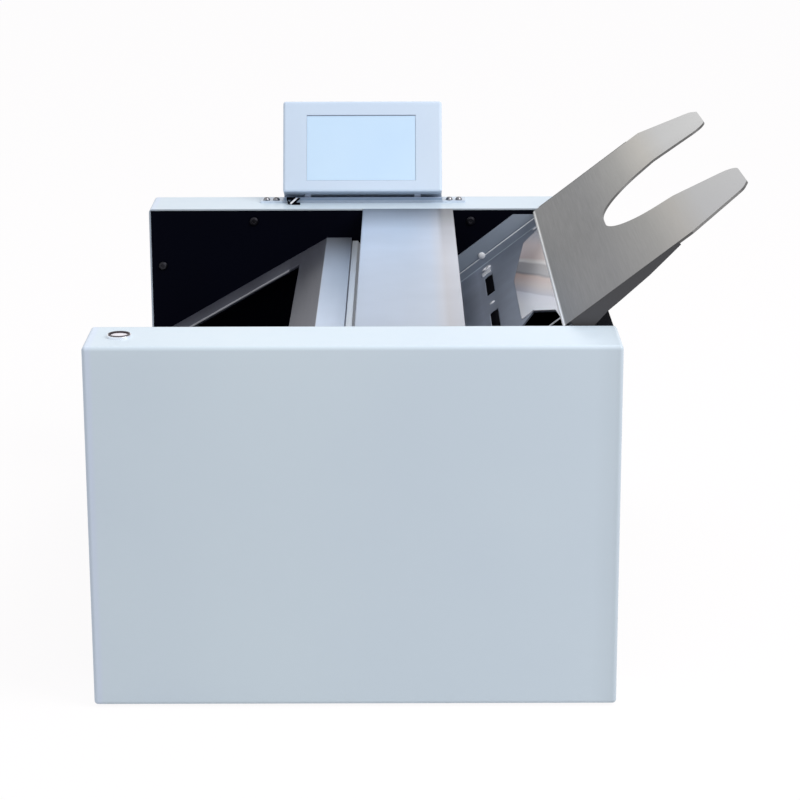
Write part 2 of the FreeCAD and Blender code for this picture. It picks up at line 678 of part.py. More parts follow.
def make_lower_bed():
    """Sloping bed below the knife, with three slots for the fingers of the stop."""
    body = new_body("lower_bed")
    low, high = -lower_bed_length, -size.knife_gap
    bed_sheet(body, low, high, low, -size.knife_rail_width)
    for row in (-1, 0, 1):
        middle = size.stop_finger_pitch * row
        half = size.stop_slot_width / 2
        slot = box_loop(low + size.stop_slot_gap, -size.stop_slot_start, middle - half, middle + half)
        pocket(body, "XY", -size.overrun, size.overrun, [slot])
    on_bed(body)


def make_bed_wall(side_name):
    """Upright sheet beside the bed with a thick rail along its foot."""
    side = SIDES[side_name]
    body = new_body(side_name + "_bed_wall")
    inner = half_gap - size.wall_sheet
    slope_end = bed_length - size.rail_inset * 2
    drop = size.wall_slope_length * tan(size.bed_angle)
    loop = [(size.wall_start, NOTHING), (bed_length, NOTHING),
            (bed_length, size.wall_end_height), (slope_end, size.wall_height - drop),
            (slope_end - size.wall_slope_length, size.wall_height), (size.wall_start, size.wall_height)]
    pad(body, "XZ", *side_span(side, inner, half_gap), [loop])
    rail = box_loop(size.wall_start, bed_length, NOTHING, size.rail_height)
    pad(body, "XZ", *side_span(side, inner - size.rail_inset, inner), [rail])
    on_bed(body)


def make_infeed_tray():
    """Sloping tray with two prongs and a wide notch for the hand."""
    body = new_body("infeed_tray")
    start, rise, sheet = tray_start, size.tray_rise, size.tray_sheet
    bend = start + size.tray_bend
    tip = size.tray_length - size.tray_bend
    tip_cos, tip_sin = cos(size.tray_tip_angle), sin(size.tray_tip_angle)
    end_x, end_z = bend + tip * tip_cos, rise - tip * tip_sin
    inner_bend = bend - sheet * tan(size.tray_tip_angle / 2)
    profile = [(start, rise), (bend, rise), (end_x, end_z),
               (end_x - sheet * tip_sin, end_z - sheet * tip_cos), (inner_bend, rise - sheet),
               (start + sheet, rise - sheet), (start + sheet, rise - size.tray_lip),
               (start, rise - size.tray_lip)]
    pad(body, "XZ", -size.tray_half, size.tray_half, [profile])
    round_edges(body, size.tray_edge_radius, lambda edge: near(edge, start, rise, "xz"))
    end = start + size.tray_length
    past = end + size.overrun
    half, wide = size.tray_half, size.tray_half + size.overrun
    low_z, high_z = rise - size.tray_lip - size.overrun, rise + size.overrun
    shoulder = start + size.prong_shoulder
    for side in (-1, 1):
        corner = [(bend, half * side), (shoulder, size.prong_half * side),
                  (end, size.prong_side * side), (past, size.prong_side * side),
                  (past, wide * side), (bend, wide * side)]
        pocket(body, "XY", low_z, high_z, [corner])
    bottom, waist = start + size.notch_bottom, start + size.notch_waist
    notch = [(bottom, -size.notch_half), (bottom, size.notch_half), (waist, size.notch_waist_half),
             (past, size.notch_mouth_half), (past, -size.notch_mouth_half),
             (waist, -size.notch_waist_half)]
    pocket(body, "XY", low_z, high_z, [notch])
    for x, half_y, radius in ((bottom, size.notch_half, size.notch_radius),
                              (waist, size.notch_waist_half, size.notch_waist_radius)):
        round_edges(body, radius, lambda edge: near_both_sides(edge, x, half_y))
    mouth = size.notch_mouth_half
    round_edges(body, size.prong_radius, lambda edge: near_both_sides(edge, end, mouth, size.tip_reach))
    round_edges(body, size.prong_outer_radius, lambda edge: near_both_sides(edge, shoulder, size.prong_half))
    on_bed(body)


def near_both_sides(edge, x, half_y, reach=size.edge_reach):
    """True for an edge at the given place on either side of the middle."""
    return near(edge, x, half_y, "xy", reach) or near(edge, x, -half_y, "xy", reach)


# Lower edge of a tray arm: shares of its length, and of the tray's rise, from the tip down.
ARM_EDGE_SHARES = [(1.0, 0.205), (0.689, 0.56), (0.412, 0.735), (0.289, 0.795), (0.152, 1.007)]


def make_tray_arm(side_name):
    """Arm along one side of the tray: a web down to the frame plate and a flange under the tray."""
    side = SIDES[side_name]
    body = new_body(side_name + "_tray_arm")
    start, rise = arm_start, size.tray_rise
    lower_edge = [(start + size.arm_length * along, rise - rise * down)
                  for along, down in ARM_EDGE_SHARES]
    tray_foot = world(start, rise)
    leg_x, leg_z = tray_foot[0] + size.arm_leg_inset, tray_foot[1] - size.arm_leg_drop
    heel = start + size.tray_edge_radius
    loop = [(heel, rise), (start + size.arm_length * 0.99, rise)] + lower_edge
    loop += [local(leg_x + size.arm_leg_width, leg_z), local(leg_x, leg_z), (heel, -rise * 0.23)]
    holes = [(*local(x, z), size.screw_radius) for x, z in arm_screw_places]
    web = side_span(side, size.tray_half, size.tray_half + size.arm_sheet)
    pad(body, "XZ", *web, [loop], holes)
    under = rise - size.tray_sheet
    flange_end = start + size.arm_length * ARM_EDGE_SHARES[1][0]
    flange = box_loop(heel + size.overrun, flange_end, *side_span(side, size.tray_half - size.arm_flange,
                                                                 size.tray_half + size.arm_sheet))
    pad(body, "XY", under - size.arm_sheet, under, [flange])
    on_bed(body)


def make_arm_spacers():
    """Four round spacers between the tray arms and the frame plates."""
    rings = []
    for side in SIDES.values():
        levels = side_span(side, size.tray_half + size.arm_sheet, half_gap)
        for x, z in arm_screw_places:
            outer = y_cylinder("Spacer", x, z, *levels, size.spacer_radius)
            hole = y_cylinder("Hole", x, z, levels[0] - size.overrun, levels[1] + size.overrun,
                              size.screw_radius)
            rings.append(cut_away(outer, [hole]))
    group("arm_spacers", rings)


hood_top = size.body_height - size.hood_drop
hood_end_z = hood_top - (plate_edge - size.hood_bend_x) * tan(size.hood_angle)
left_end_top = hood_end_z - size.hood_lip


def make_exit_hood():
    """Sloping sheet over the left half, with a window, that the booklets slide down."""
    body = new_body("exit_hood")
    sheet, top, lip = size.sheet, hood_top, size.hood_lip
    inner_bend_x = -size.hood_bend_x + sheet * tan(size.hood_angle / 2)
    inner_end_x = -plate_edge + sheet
    inner_end_z = top - sheet + (inner_end_x - inner_bend_x) * tan(size.hood_angle)
    right = -size.hood_end_x
    profile = [(right, top), (-size.hood_bend_x, top), (-plate_edge, hood_end_z),
               (-plate_edge, hood_end_z - lip), (inner_end_x, hood_end_z - lip),
               (inner_end_x, inner_end_z), (inner_bend_x, top - sheet), (right - sheet, top - sheet),
               (right - sheet, top - size.hood_flange), (right, top - size.hood_flange)]
    reach = half_gap - size.side_play
    pad(body, "XZ", -reach, reach, [profile])
    for side in SIDES.values():
        flange = [(inner_bend_x, top - sheet), (inner_end_x, inner_end_z),
                  (inner_end_x, inner_end_z - size.hood_flange), (inner_bend_x, top - size.hood_flange)]
        pad(body, "XZ", *side_span(side, half_gap - sheet, half_gap), [flange])
    window_right = -size.hood_bend_x - size.window_start * cos(size.hood_angle)
    window_left = size.window_end_gap * cos(size.hood_angle) - plate_edge
    window = box_loop(window_left, window_right, -size.window_half, size.window_half)
    pocket(body, "XY", hood_end_z - lip, top + size.overrun, [window])


def make_exit_guide():
    """Cross sheet that guides the fold up from the rollers to the exit mouth."""
    body = new_body("exit_guide")
    face, back = -size.guide_offset, -size.guide_offset - size.sheet
    strip_right = -size.hood_end_x + size.guide_strip + size.sheet / 2
    strip_left = strip_right - size.guide_strip
    top = size.body_height - size.guide_drop
    loop = [(face, size.guide_low), (face, size.guide_high), local(strip_right, top),
            local(strip_left, top), local(strip_left, top - size.sheet),
            (back, size.guide_high + size.sheet), (back, size.guide_low)]
    pad(body, "XZ", -half_gap, half_gap, [loop])
    on_bed(body)


def make_top_plate():
    """Channel over the fold rollers, level with the tops of the covers."""
    body = new_body("top_plate")
    sheet, top = size.sheet, size.body_height
    left, right = size.top_plate_left, size.top_plate_right
    profile = [(left, top), (right, top), (right, top - size.top_right_flange),
               (right - sheet, top - size.top_right_flange), (right - sheet, top - sheet),
               (left + sheet, top - sheet), (left + sheet, top - size.top_left_flange),
               (left, top - size.top_left_flange)]
    reach = half_gap - size.side_play
    pad(body, "XZ", -reach, reach, [profile])
    round_edges(body, sheet * 0.9, lambda edge: near(edge, right, top, "xz") or near(edge, left, top, "xz"))
    flange = box_loop(left + sheet, right - sheet, top - sheet - size.top_left_flange, top - sheet)
    for side in SIDES.values():
        pad(body, "XZ", *side_span(side, half_gap - sheet, half_gap), [flange])


make_upper_bed()
make_lower_bed()
make_glide_plate()
for name in SIDES:
    make_bed_wall(name)
    make_tray_arm(name)
make_infeed_tray()
make_arm_spacers()
make_exit_hood()
make_end_plate("left_end_plate", -1, left_end_top, False)
make_exit_guide()
make_top_plate()


def hinge_place():
    """Y and Z of the panel's hinge line on the machine."""
    turn_cos, turn_sin = cos(size.panel_tilt), sin(size.panel_tilt)
    y = size.panel_front_y + size.hinge_depth * turn_cos + size.hinge_rise * turn_sin
    front_z = size.body_height + size.panel_front_rise
    return y, front_z - size.hinge_depth * turn_sin + size.hinge_rise * turn_cos


def on_panel(item):
    """Lay an object in the panel's own frame, which starts at its lower front edge."""
    front_z = size.body_height + size.panel_front_rise
    return place(item, (NOTHING, size.panel_front_y, front_z), FreeCAD.Vector(-1, 0, 0), size.panel_tilt)


def screen_loop():
    """Outline of the touch screen on the face of the housing."""
    left = -size.screen_width / 2 - size.screen_shift
    return box_loop(left, left + size.screen_width, size.screen_low, size.screen_low + size.screen_height)


def make_panel_housing():
    """Rounded housing of the touch panel, with the screen's recess and the hinge notches."""
    body = new_body("panel_housing")
    half = size.panel_width / 2
    pad(body, "XZ", NOTHING, size.panel_depth, [box_loop(-half, half, NOTHING, size.panel_height)])
    round_edges(body, size.panel_corner, lambda edge: True)
    pocket(body, "XZ", NOTHING, size.screen_sheet + size.screen_inset, [screen_loop()])
    reach = size.hinge_lug_radius + size.hinge_room
    notch_top = size.hinge_rise + size.hinge_lug_radius + size.round_small
    lug_half = size.hinge_lug_width / 2
    for side in (-1, 1):
        inner = size.hinge_lug_x * side - lug_half - size.side_play
        outer = size.hinge_lug_x * side + lug_half + size.side_play
        notch = box_loop(size.hinge_depth - reach, size.panel_depth + size.overrun,
                         -size.overrun, notch_top)
        pocket(body, "YZ", inner, outer, [notch])
    pin_end = size.hinge_lug_x + size.hinge_pin_over
    bore = (size.hinge_depth, size.hinge_rise, size.hinge_pin_radius + size.running_play)
    pocket(body, "YZ", -pin_end - size.side_play, pin_end + size.side_play, circles=[bore])
    on_panel(body)


def make_touch_screen():
    """Glass of the touch screen in its recess."""
    body = new_body("touch_screen")
    pad(body, "XZ", size.screen_inset, size.screen_inset + size.screen_sheet, [screen_loop()])
    on_panel(body)


def make_panel_bracket():
    """Bracket on the rear cover with two lugs that carry the panel's hinge pin."""
    body = new_body("panel_bracket")
    low, top = size.body_height, size.body_height + size.bracket_sheet
    half = bracket_half
    holes = [(x, size.bracket_screw_y, size.screw_radius) for x in bracket_screw_xs()]
    plan = box_loop(-half, half, size.bracket_front, size.bracket_back)
    pad(body, "XY", low, top, [plan], holes)
    lip_half = size.panel_width / 2
    for start in (size.bracket_front, size.bracket_back - size.bracket_sheet):
        lip = box_loop(-lip_half, lip_half, start, start + size.bracket_sheet)
        pad(body, "XY", top, low + size.bracket_lip, [lip])
    pin_y, pin_z = hinge_place()
    radius, lug_half = size.hinge_lug_radius, size.hinge_lug_width / 2
    for side in (-1, 1):
        middle = size.hinge_lug_x * side
        stem = box_loop(pin_y - radius, pin_y + radius, top, pin_z)
        pad(body, "YZ", middle - lug_half, middle + lug_half, [stem])
        pad(body, "YZ", middle - lug_half, middle + lug_half, circles=[(pin_y, pin_z, radius)])
        bore = (pin_y, pin_z, size.hinge_pin_radius + size.running_play)
        pocket(body, "YZ", middle - lug_half, middle + lug_half, circles=[bore])


def make_panel_fasteners():
    """Hinge pin of the panel and the four screws of its bracket."""
    pin_y, pin_z = hinge_place()
    end = size.hinge_lug_x + size.hinge_pin_over
    pin = doc.addObject("Part::Cylinder", "Hinge_pin")
    bind(pin, "Radius", size.hinge_pin_radius)
    bind(pin, "Height", end * 2)
    register(place(pin, (-end, pin_y, pin_z), FreeCAD.Vector(0, 1, 0), 90), "panel_hinge_pin")
    screw = make_screw("Bracket_screw", size.bracket_head_radius, size.bracket_head_height,
                       size.screw_radius - size.thread_play, size.bracket_sheet + size.cover_sheet)
    top = size.body_height + size.bracket_sheet
    places = [((x, size.bracket_screw_y, top), X_AXIS, 0) for x in bracket_screw_xs()]
    group("bracket_screws", copies(screw, places))


def make_start_button():
    """Metal push button in the front cover: ring with threaded body, nut and moving cap."""
    top = size.body_height
    centre = [(button_x, button_y)]
    thread_radius = size.button_hole_radius - size.thread_play
    bore_radius = size.button_cap_radius + size.running_play * 2
    cap_low = top - size.button_skirt
    housing = doc.addObject("PartDesign::Body", "Button_ring")
    ring_top = top + size.button_ring_rise
    pad(housing, "XY", top, ring_top, circles=[(*centre[0], size.button_ring_radius)])
    pad(housing, "XY", top - size.button_body_depth, top, circles=[(*centre[0], thread_radius)])
    pocket(housing, "XY", cap_low - size.button_travel_room, ring_top,
           circles=[(*centre[0], bore_radius)])
    nut = doc.addObject("PartDesign::Body", "Button_nut")
    nut_top = top - size.cover_sheet
    reach = size.button_nut_radius
    hexagon = [(button_x + reach * math.cos(math.radians(60 * k)),
                button_y + reach * math.sin(math.radians(60 * k))) for k in range(6)]
    pad(nut, "XY", nut_top - size.button_nut_sheet, nut_top, [hexagon],
        [(*centre[0], size.button_hole_radius)])
    group("button_housing", [housing, nut])
    cap = new_body("start_button")
    cap_top = ring_top - size.button_cap_drop
    pad(cap, "XY", cap_low, cap_top, circles=[(*centre[0], size.button_cap_radius)])
    round_edges(cap, size.round_small,
                lambda edge: abs(edge.BoundBox.ZMin - cap_top.value) < size.edge_reach.value)


def block(name, x_span, y_span, z_span):
    """Plain box between pairs of levels."""
    item = doc.addObject("Part::Box", name)
    base = []
    for side_name, span in zip(("Length", "Width", "Height"), (x_span, y_span, z_span)):
        start, stop = as_dim(span[0]), as_dim(span[1])
        bind(item, side_name, stop - start)
        base.append(start)
    return place(item, base)


def make_power_inlet():
    """Mains inlet in the rear cover, with its three contacts."""
    body = new_body("power_inlet")
    x, z = size.inlet_x, size.inlet_z
    play = size.side_play
    back = cover_face - size.inlet_depth
    body_loop = centred_loop(x, z, size.inlet_width - play, size.inlet_height - play)
    pad(body, "XZ", back, cover_face, [body_loop])
    rim_loop = centred_loop(x, z, size.inlet_width + size.inlet_rim * 2,
                            size.inlet_height + size.inlet_rim * 2)
    rim_face = cover_face + size.inlet_rim_sheet
    pad(body, "XZ", cover_face, rim_face, [rim_loop])
    floor_level = rim_face - size.inlet_socket_depth
    socket = centred_loop(x, z, size.inlet_socket_width, size.inlet_socket_height)
    pocket(body, "XZ", floor_level, rim_face, [socket])
    contacts = []
    for row in (-1, 0, 1):
        rise = size.blade_rise if row == 0 else -size.blade_rise / 2
        centre_x, centre_z = x + size.blade_pitch * row, z + rise
        contacts.append(block("Contact", (centre_x - size.blade_width / 2, centre_x + size.blade_width / 2),
                              (floor_level, floor_level + size.blade_length),
                              (centre_z - size.blade_height / 2, centre_z + size.blade_height / 2)))
    group("inlet_contacts", contacts)


def make_power_switch():
    """Power switch in the rear cover: frame and tilting rocker."""
    x, z, play = size.inlet_x, size.switch_z, size.side_play
    frame = new_body("switch_frame")
    back = cover_face - size.switch_depth
    rim_face = cover_face + size.switch_wall
    outer = centred_loop(x, z, size.switch_width - play, size.switch_height - play)
    pad(frame, "XZ", back, cover_face, [outer])
    rim = centred_loop(x, z, size.switch_width + size.inlet_rim, size.switch_height + size.inlet_rim)
    pad(frame, "XZ", cover_face, rim_face, [rim])
    room_x = size.switch_width - size.switch_wall * 2
    room_z = size.switch_height - size.switch_wall * 2
    pocket(frame, "XZ", back + size.switch_wall, rim_face, [centred_loop(x, z, room_x, room_z)])
    rocker = new_body("power_rocker")
    half_x = room_x / 2 - size.rocker_play
    loop = centred_loop(x, z, half_x * 2, room_z - play * 2)
    pad(rocker, "XZ", cover_face - size.rocker_depth, rim_face + size.rocker_rise, [loop])
    front = rim_face + size.rocker_rise
    round_edges(rocker, size.round_small,
                lambda edge: abs(edge.BoundBox.YMin - front.value) < size.edge_reach.value)
    pin = (x, cover_face - size.rocker_pin_depth, size.rocker_pin_radius)
    pin_half = room_z / 2 + size.switch_wall * 0.75
    pad(rocker, "XY", z - pin_half, z + pin_half, circles=[pin])
    hole = (x, cover_face - size.rocker_pin_depth, size.rocker_pin_radius + size.running_play)
    hole_half = pin_half + size.running_play
    pocket(frame, "XY", z - hole_half, z + hole_half, circles=[hole])


def make_power_supply():
    """Closed power supply on the outside of the rear frame plate."""
    body = new_body("power_supply")
    loop = box_loop(supply_left, supply_left + size.supply_width,
                    size.supply_low, size.supply_low + size.supply_height)
    pad(body, "XZ", plate_face, plate_face + size.supply_depth, [loop])
    round_edges(body, size.round_small, lambda edge: edge.BoundBox.YLength > size.supply_depth.value / 2)


# Parts on the control board: places across and up as shares of the board, then sizes as shares.
BOARD_PART_SHARES = [(0.08, 0.1, 0.2, 0.3), (0.35, 0.12, 0.16, 0.16), (0.6, 0.1, 0.3, 0.12),
                     (0.1, 0.6, 0.25, 0.25), (0.5, 0.45, 0.2, 0.2), (0.8, 0.5, 0.1, 0.35)]


def make_control_board():
    """Control board with its parts, on the standoffs of the rear frame plate."""
    left, low = board_left, board_low
    near_y = plate_face + size.standoff_length
    far_y = near_y + size.board_sheet
    solids = [block("Board", (left, left + size.board_width), (near_y, far_y),
                    (low, low + size.board_height))]
    for across, up, wide, tall in BOARD_PART_SHARES:
        x, z = left + size.board_width * across, low + size.board_height * up
        solids.append(block("Chip", (x, x + size.board_width * wide),
                            (far_y, far_y + size.board_part_height), (z, z + size.board_height * tall)))
    register(fuse(solids), "control_board")


make_panel_housing()
make_touch_screen()
make_panel_bracket()
make_panel_fasteners()
make_start_button()
make_power_inlet()
make_power_switch()
make_power_supply()
make_control_board()


pulley_width = size.belt_width + size.belt_side_play * 2 + size.pulley_rim * 2
gear_start = plate_face + size.gear_layer
gear_stop = gear_start + size.gear_width
first_layer = gear_stop + size.layer_gap
second_layer = first_layer + pulley_width + size.layer_gap
knife_layer = gear_start
bearing_end = plate_face + size.bearing_flange_sheet + size.bearing_stub


def pulley_parts(x, z, layer, side):
    """Belt track and two rims of a pulley that starts at a level outside the frame plate."""
    stop = layer + pulley_width
    track = y_cylinder("Track", x, z, *side_span(side, layer, stop), size.pulley_radius)
    rim_radius = size.pulley_radius + size.pulley_flange
    rims = [y_cylinder("Rim", x, z, *side_span(side, start, start + size.pulley_rim), rim_radius)
            for start in (layer, stop - size.pulley_rim)]
    return [track] + rims


def shaft_hole(x, z, start, stop, radius):
    """Bore for a shaft between two Y levels, with an overrun at both ends."""
    return y_cylinder("Bore", x, z, start - size.overrun, stop + size.overrun, radius)


def make_roller(label, centre, front_end):
    """Fold roller with a stepped steel shaft and a thick covering."""
    rear_end = bearing_end
    shaft = y_cylinder("Shaft", *centre, -front_end, rear_end, size.shaft_radius)
    cover = y_cylinder("Cover", *centre, -size.roller_half, size.roller_half, size.roller_radius)
    register(fuse([shaft, cover]), label)


def tooth_gap(pitch_radius, tooth):
    """Gap between two gear teeth, pointing along +X, a little wider than the tooth."""
    pitch = tooth * math.pi
    root, tip = pitch_radius - tooth * 1.15, pitch_radius + tooth
    low, high = pitch * 0.2, pitch * 0.38
    return [(root, -low), (tip, -high), (tip, high), (root, low)]


def cut_gear(body, start, stop, pitch_radius, tooth, count, word):
    """Toothed wheel centred on the body's own Y axis."""
    pad(body, "XZ", start, stop, circles=[(NOTHING, NOTHING, pitch_radius + tooth * 0.75)])
    gap = pocket(body, "XZ", start, stop, [tooth_gap(pitch_radius, tooth)])
    pattern = body.newObject("PartDesign::PolarPattern", "Teeth")
    pattern.Originals = [gap]
    pattern.Axis = (next(item for item in body.Origin.OriginFeatures if item.Role == "Y_Axis"), [""])
    pattern.Angle = 360
    pattern.Occurrences = count
    bind(pattern, "Occurrences", word)
    body.Tip = pattern


def make_gear_pulley(label, centre, layer, turn):
    """Gear of a fold roller with its belt pulley on the same hub."""
    body = new_body(label)
    tooth = nip_offset * 2 / size.gear_teeth
    cut_gear(body, -gear_stop, -gear_start, nip_offset, tooth, SIZES["gear_teeth"], size.gear_teeth)
    stop = layer + pulley_width
    axis = (NOTHING, NOTHING)
    pad(body, "XZ", -stop, -gear_stop, circles=[(*axis, size.pulley_radius)])
    rim_radius = size.pulley_radius + size.pulley_flange
    for start in (layer, stop - size.pulley_rim):
        pad(body, "XZ", -start - size.pulley_rim, -start, circles=[(*axis, rim_radius)])
    pocket(body, "XZ", -stop, -gear_start, circles=[(*axis, size.shaft_radius)])
    place(body, (centre[0], NOTHING, centre[1]), Y_TURN, turn)


def make_fold_rollers():
    """The two fold rollers and their gears."""
    upper_end, lower_end = first_layer + pulley_width, second_layer + pulley_width
    make_roller("upper_fold_roller", upper_roller_place, upper_end)
    make_roller("lower_fold_roller", lower_roller_place, lower_end)
    half_tooth = as_dim(180) / size.gear_teeth
    make_gear_pulley("upper_gear_pulley", upper_roller_place, first_layer, size.bed_angle)
    make_gear_pulley("lower_gear_pulley", lower_roller_place, second_layer, size.bed_angle + half_tooth)


def make_feed_roller():
    """Feed roller under the slots of the bed, and its pulley."""
    front_end = second_layer + pulley_width
    shaft = y_cylinder("Shaft", *feed_place, -front_end, bearing_end, size.shaft_radius)
    half = size.feed_sleeve_length / 2
    sleeves = [y_cylinder("Sleeve", *feed_place, size.slot_pitch * row - half, size.slot_pitch * row + half,
                          size.feed_radius) for row in (-1, 0, 1)]
    register(fuse([shaft] + sleeves), "feed_roller")
    pulley = fuse(pulley_parts(*feed_place, second_layer, -1))
    bore = shaft_hole(*feed_place, -front_end, -second_layer, size.shaft_radius)
    register(cut_away(pulley, [bore]), "feed_pulley")


def make_bearings():
    """Flanged bearings of every shaft in both frame plates."""
    rings = []
    for side in SIDES.values():
        for x, z in (upper_roller_place, lower_roller_place, feed_place, pinion_place):
            flange_end = plate_face + size.bearing_flange_sheet
            levels = side_span(side, half_gap, plate_face)
            outer = fuse([y_cylinder("Ring", x, z, *levels, size.bearing_radius),
                          y_cylinder("Flange", x, z, *side_span(side, plate_face, flange_end),
                                     size.bearing_flange_radius)])
            bore = shaft_hole(x, z, *side_span(side, half_gap, flange_end),
                              size.shaft_radius + size.running_play)
            rings.append(cut_away(outer, [bore]))
    group("shaft_bearings", rings)


def make_motor(side, name):
    """Square motor on the inside of a frame plate, with a round boss in the plate's hole."""
    body = doc.addObject("PartDesign::Body", name)
    front = half_gap - size.motor_depth
    loop = centred_loop(*motor_place, size.motor_width, size.motor_width)
    pad(body, "XZ", *side_span(side, front, half_gap), [loop])
    round_edges(body, size.motor_corner, lambda edge: edge.BoundBox.YLength > size.motor_depth.value / 2)
    boss_end = half_gap + size.motor_boss_height
    pad(body, "XZ", *side_span(side, half_gap, boss_end), circles=[(*motor_place, size.motor_boss_radius)])
    hole_radius = size.motor_shaft_radius + size.thread_play
    pocket(body, "XZ", *side_span(side, half_gap - size.motor_shaft_engaged, boss_end),
           circles=[(*motor_place, hole_radius)])
    return body


def make_motor_pulley(label, side, layer):
    """Pulley on the shaft of a motor."""
    start = half_gap - size.motor_shaft_engaged + size.side_play
    shaft = y_cylinder("Shaft", *motor_place, *side_span(side, start, layer + pulley_width),
                       size.motor_shaft_radius)
    register(fuse([shaft] + pulley_parts(*motor_place, layer, side)), label)


def belt_ring(length, radius, upright):
    """Belt round two equal pulleys, a little clear of both, with its pulley axes on Y or on Z."""
    solids = []
    across, width = (NOTHING, size.belt_width), size.belt_width
    for reach in (radius + size.belt_play + size.belt_sheet, radius + size.belt_play):
        ends = []
        for along in (NOTHING, length):
            drum = doc.addObject("Part::Cylinder", "Drum")
            bind(drum, "Radius", reach)
            bind(drum, "Height", width)
            if upright:
                place(drum, (along, NOTHING, NOTHING))
            else:
                place(drum, (along, width, NOTHING), X_AXIS, 90)
            ends.append(drum)
        spans = ((-reach, reach), across) if upright else (across, (-reach, reach))
        solids.append(fuse(ends + [block("Middle", (NOTHING, length), *spans)]))
    return cut_away(solids[0], [solids[1]])


def side_belt(start, end, layer, side):
    """Belt round two pulleys outside a frame plate."""
    run, climb = end[0] - start[0], end[1] - start[1]
    low = side_span(side, layer, layer + size.belt_width)[0]
    ring = belt_ring(length_of(run, climb), size.pulley_radius, False)
    return place(ring, (start[0], low, start[1]), Y_TURN, heading_of(run, climb))


def make_belts():
    """Belts of the fold rollers, the feed roller and the knife."""
    inset = size.pulley_rim + size.belt_side_play
    fold = side_belt(motor_place, upper_roller_place, first_layer + inset, -1)
    feed = side_belt(lower_roller_place, feed_place, second_layer + inset, -1)
    knife = side_belt(motor_place, pinion_place, knife_layer + inset, 1)
    group("drive_belts", [fold, feed, knife])


beam_low = size.beam_top + size.beam_depth
pinion_pitch_radius = size.tooth_size * size.pinion_teeth / 2
rack_pitch = size.tooth_size * math.pi


def make_knife():
    """Knife blade and the beam that carries it, with a shoe at each end."""
    blade = new_body("knife_blade")
    half = size.blade_sheet / 2
    low = -size.knife_rest - size.knife_blade_depth
    edge = -size.knife_rest - size.blade_sheet
    profile = [(-half, low), (half, low), (half, edge), (half * 0.4, -size.knife_rest),
               (-half * 0.4, -size.knife_rest), (-half, edge)]
    pad(blade, "XZ", -size.blade_half, size.blade_half, [profile])
    on_bed(blade)
    beam = new_body("knife_beam")
    bar = box_loop(half, half + size.beam_sheet, -beam_low, -size.beam_top)
    pad(beam, "XZ", -size.beam_half, size.beam_half, [bar])
    rail_half = size.knife_rail_width / 2
    inner, outer = rail_half + size.side_play, rail_half + size.side_play + size.shoe_wall
    rail_face = half_gap - size.knife_rail_sheet
    shoe_top = -size.beam_top - size.shoe_wall * 0.6
    for side in SIDES.values():
        web = box_loop(-outer, outer, -beam_low, shoe_top)
        pad(beam, "XZ", *side_span(side, size.beam_half, rail_face - size.side_play), [web])
        cheeks = [box_loop(start, start + size.shoe_wall, -beam_low, shoe_top) for start in (-outer, inner)]
        for cheek in cheeks:
            levels = side_span(side, rail_face - size.side_play, half_gap - size.shoe_end_play)
            pad(beam, "XZ", *levels, [cheek])
    on_bed(beam)


def make_knife_rails():
    """Two rails on the frame plates that the knife beam slides along."""
    half = size.knife_rail_width / 2
    rails = []
    for side in SIDES.values():
        rail = block("Rail", (-half, half), side_span(side, half_gap - size.knife_rail_sheet, half_gap),
                     (-size.knife_rail_low, -size.knife_rail_top))
        rails.append(rail)
    on_bed(group("knife_rails", rails))


def make_knife_racks():
    """Toothed racks under both ends of the knife beam."""
    pitch_line = size.pinion_across - pinion_pitch_radius
    root, tip = pitch_line - size.tooth_size * 1.15, pitch_line + size.tooth_size * 0.75
    back = root - size.rack_back
    first = -size.pinion_along - rack_pitch * size.rack_teeth_below
    racks = []
    for side in SIDES.values():
        body = doc.addObject("PartDesign::Body", "Rack")
        levels = side_span(side, size.rack_y, size.rack_y + size.rack_width)
        pad(body, "XZ", *levels, [box_loop(back, root, first - rack_pitch / 2, -beam_low)])
        wide, slim = rack_pitch * 0.3, rack_pitch * 0.12
        tooth = pad(body, "XZ", *levels, [[(root, first - wide), (tip, first - slim),
                                           (tip, first + slim), (root, first + wide)]])
        pattern = body.newObject("PartDesign::LinearPattern", "Teeth")
        pattern.Originals = [tooth]
        pattern.Direction = (next(item for item in body.Origin.OriginFeatures if item.Role == "Z_Axis"), [""])
        bind(pattern, "Length", rack_pitch * (size.rack_teeth - 1))
        pattern.Occurrences = SIZES["rack_teeth"]
        bind(pattern, "Occurrences", size.rack_teeth)
        body.Tip = pattern
        racks.append(body)
    on_bed(group("knife_racks", racks))


def make_knife_drive():
    """Shaft with two pinions that lifts the knife, and its pulley."""
    rear_end = knife_layer + pulley_width
    body = new_body("knife_shaft")
    axis = (NOTHING, NOTHING)
    pad(body, "XZ", -bearing_end, rear_end, circles=[(*axis, size.shaft_radius)])
    for side in SIDES.values():
        start, stop = side_span(side, size.rack_y, size.rack_y + size.rack_width)
        cut_gear(body, start, stop, pinion_pitch_radius, size.tooth_size, SIZES["pinion_teeth"],
                 size.pinion_teeth)
    place(body, (pinion_place[0], NOTHING, pinion_place[1]), Y_TURN, size.bed_angle)
    pulley = fuse(pulley_parts(*pinion_place, knife_layer, 1))
    bore = shaft_hole(*pinion_place, knife_layer, rear_end, size.shaft_radius)
    register(cut_away(pulley, [bore]), "knife_pulley")


def make_drives():
    """The two motors and their pulleys."""
    group("belt_motors", [make_motor(-1, "Fold_motor"), make_motor(1, "Knife_motor")])
    make_motor_pulley("fold_motor_pulley", -1, first_layer)
    make_motor_pulley("knife_motor_pulley", 1, knife_layer)


make_fold_rollers()
make_feed_roller()
make_bearings()
make_belts()
make_drives()
make_knife()
make_knife_rails()
make_knife_racks()
make_knife_drive()


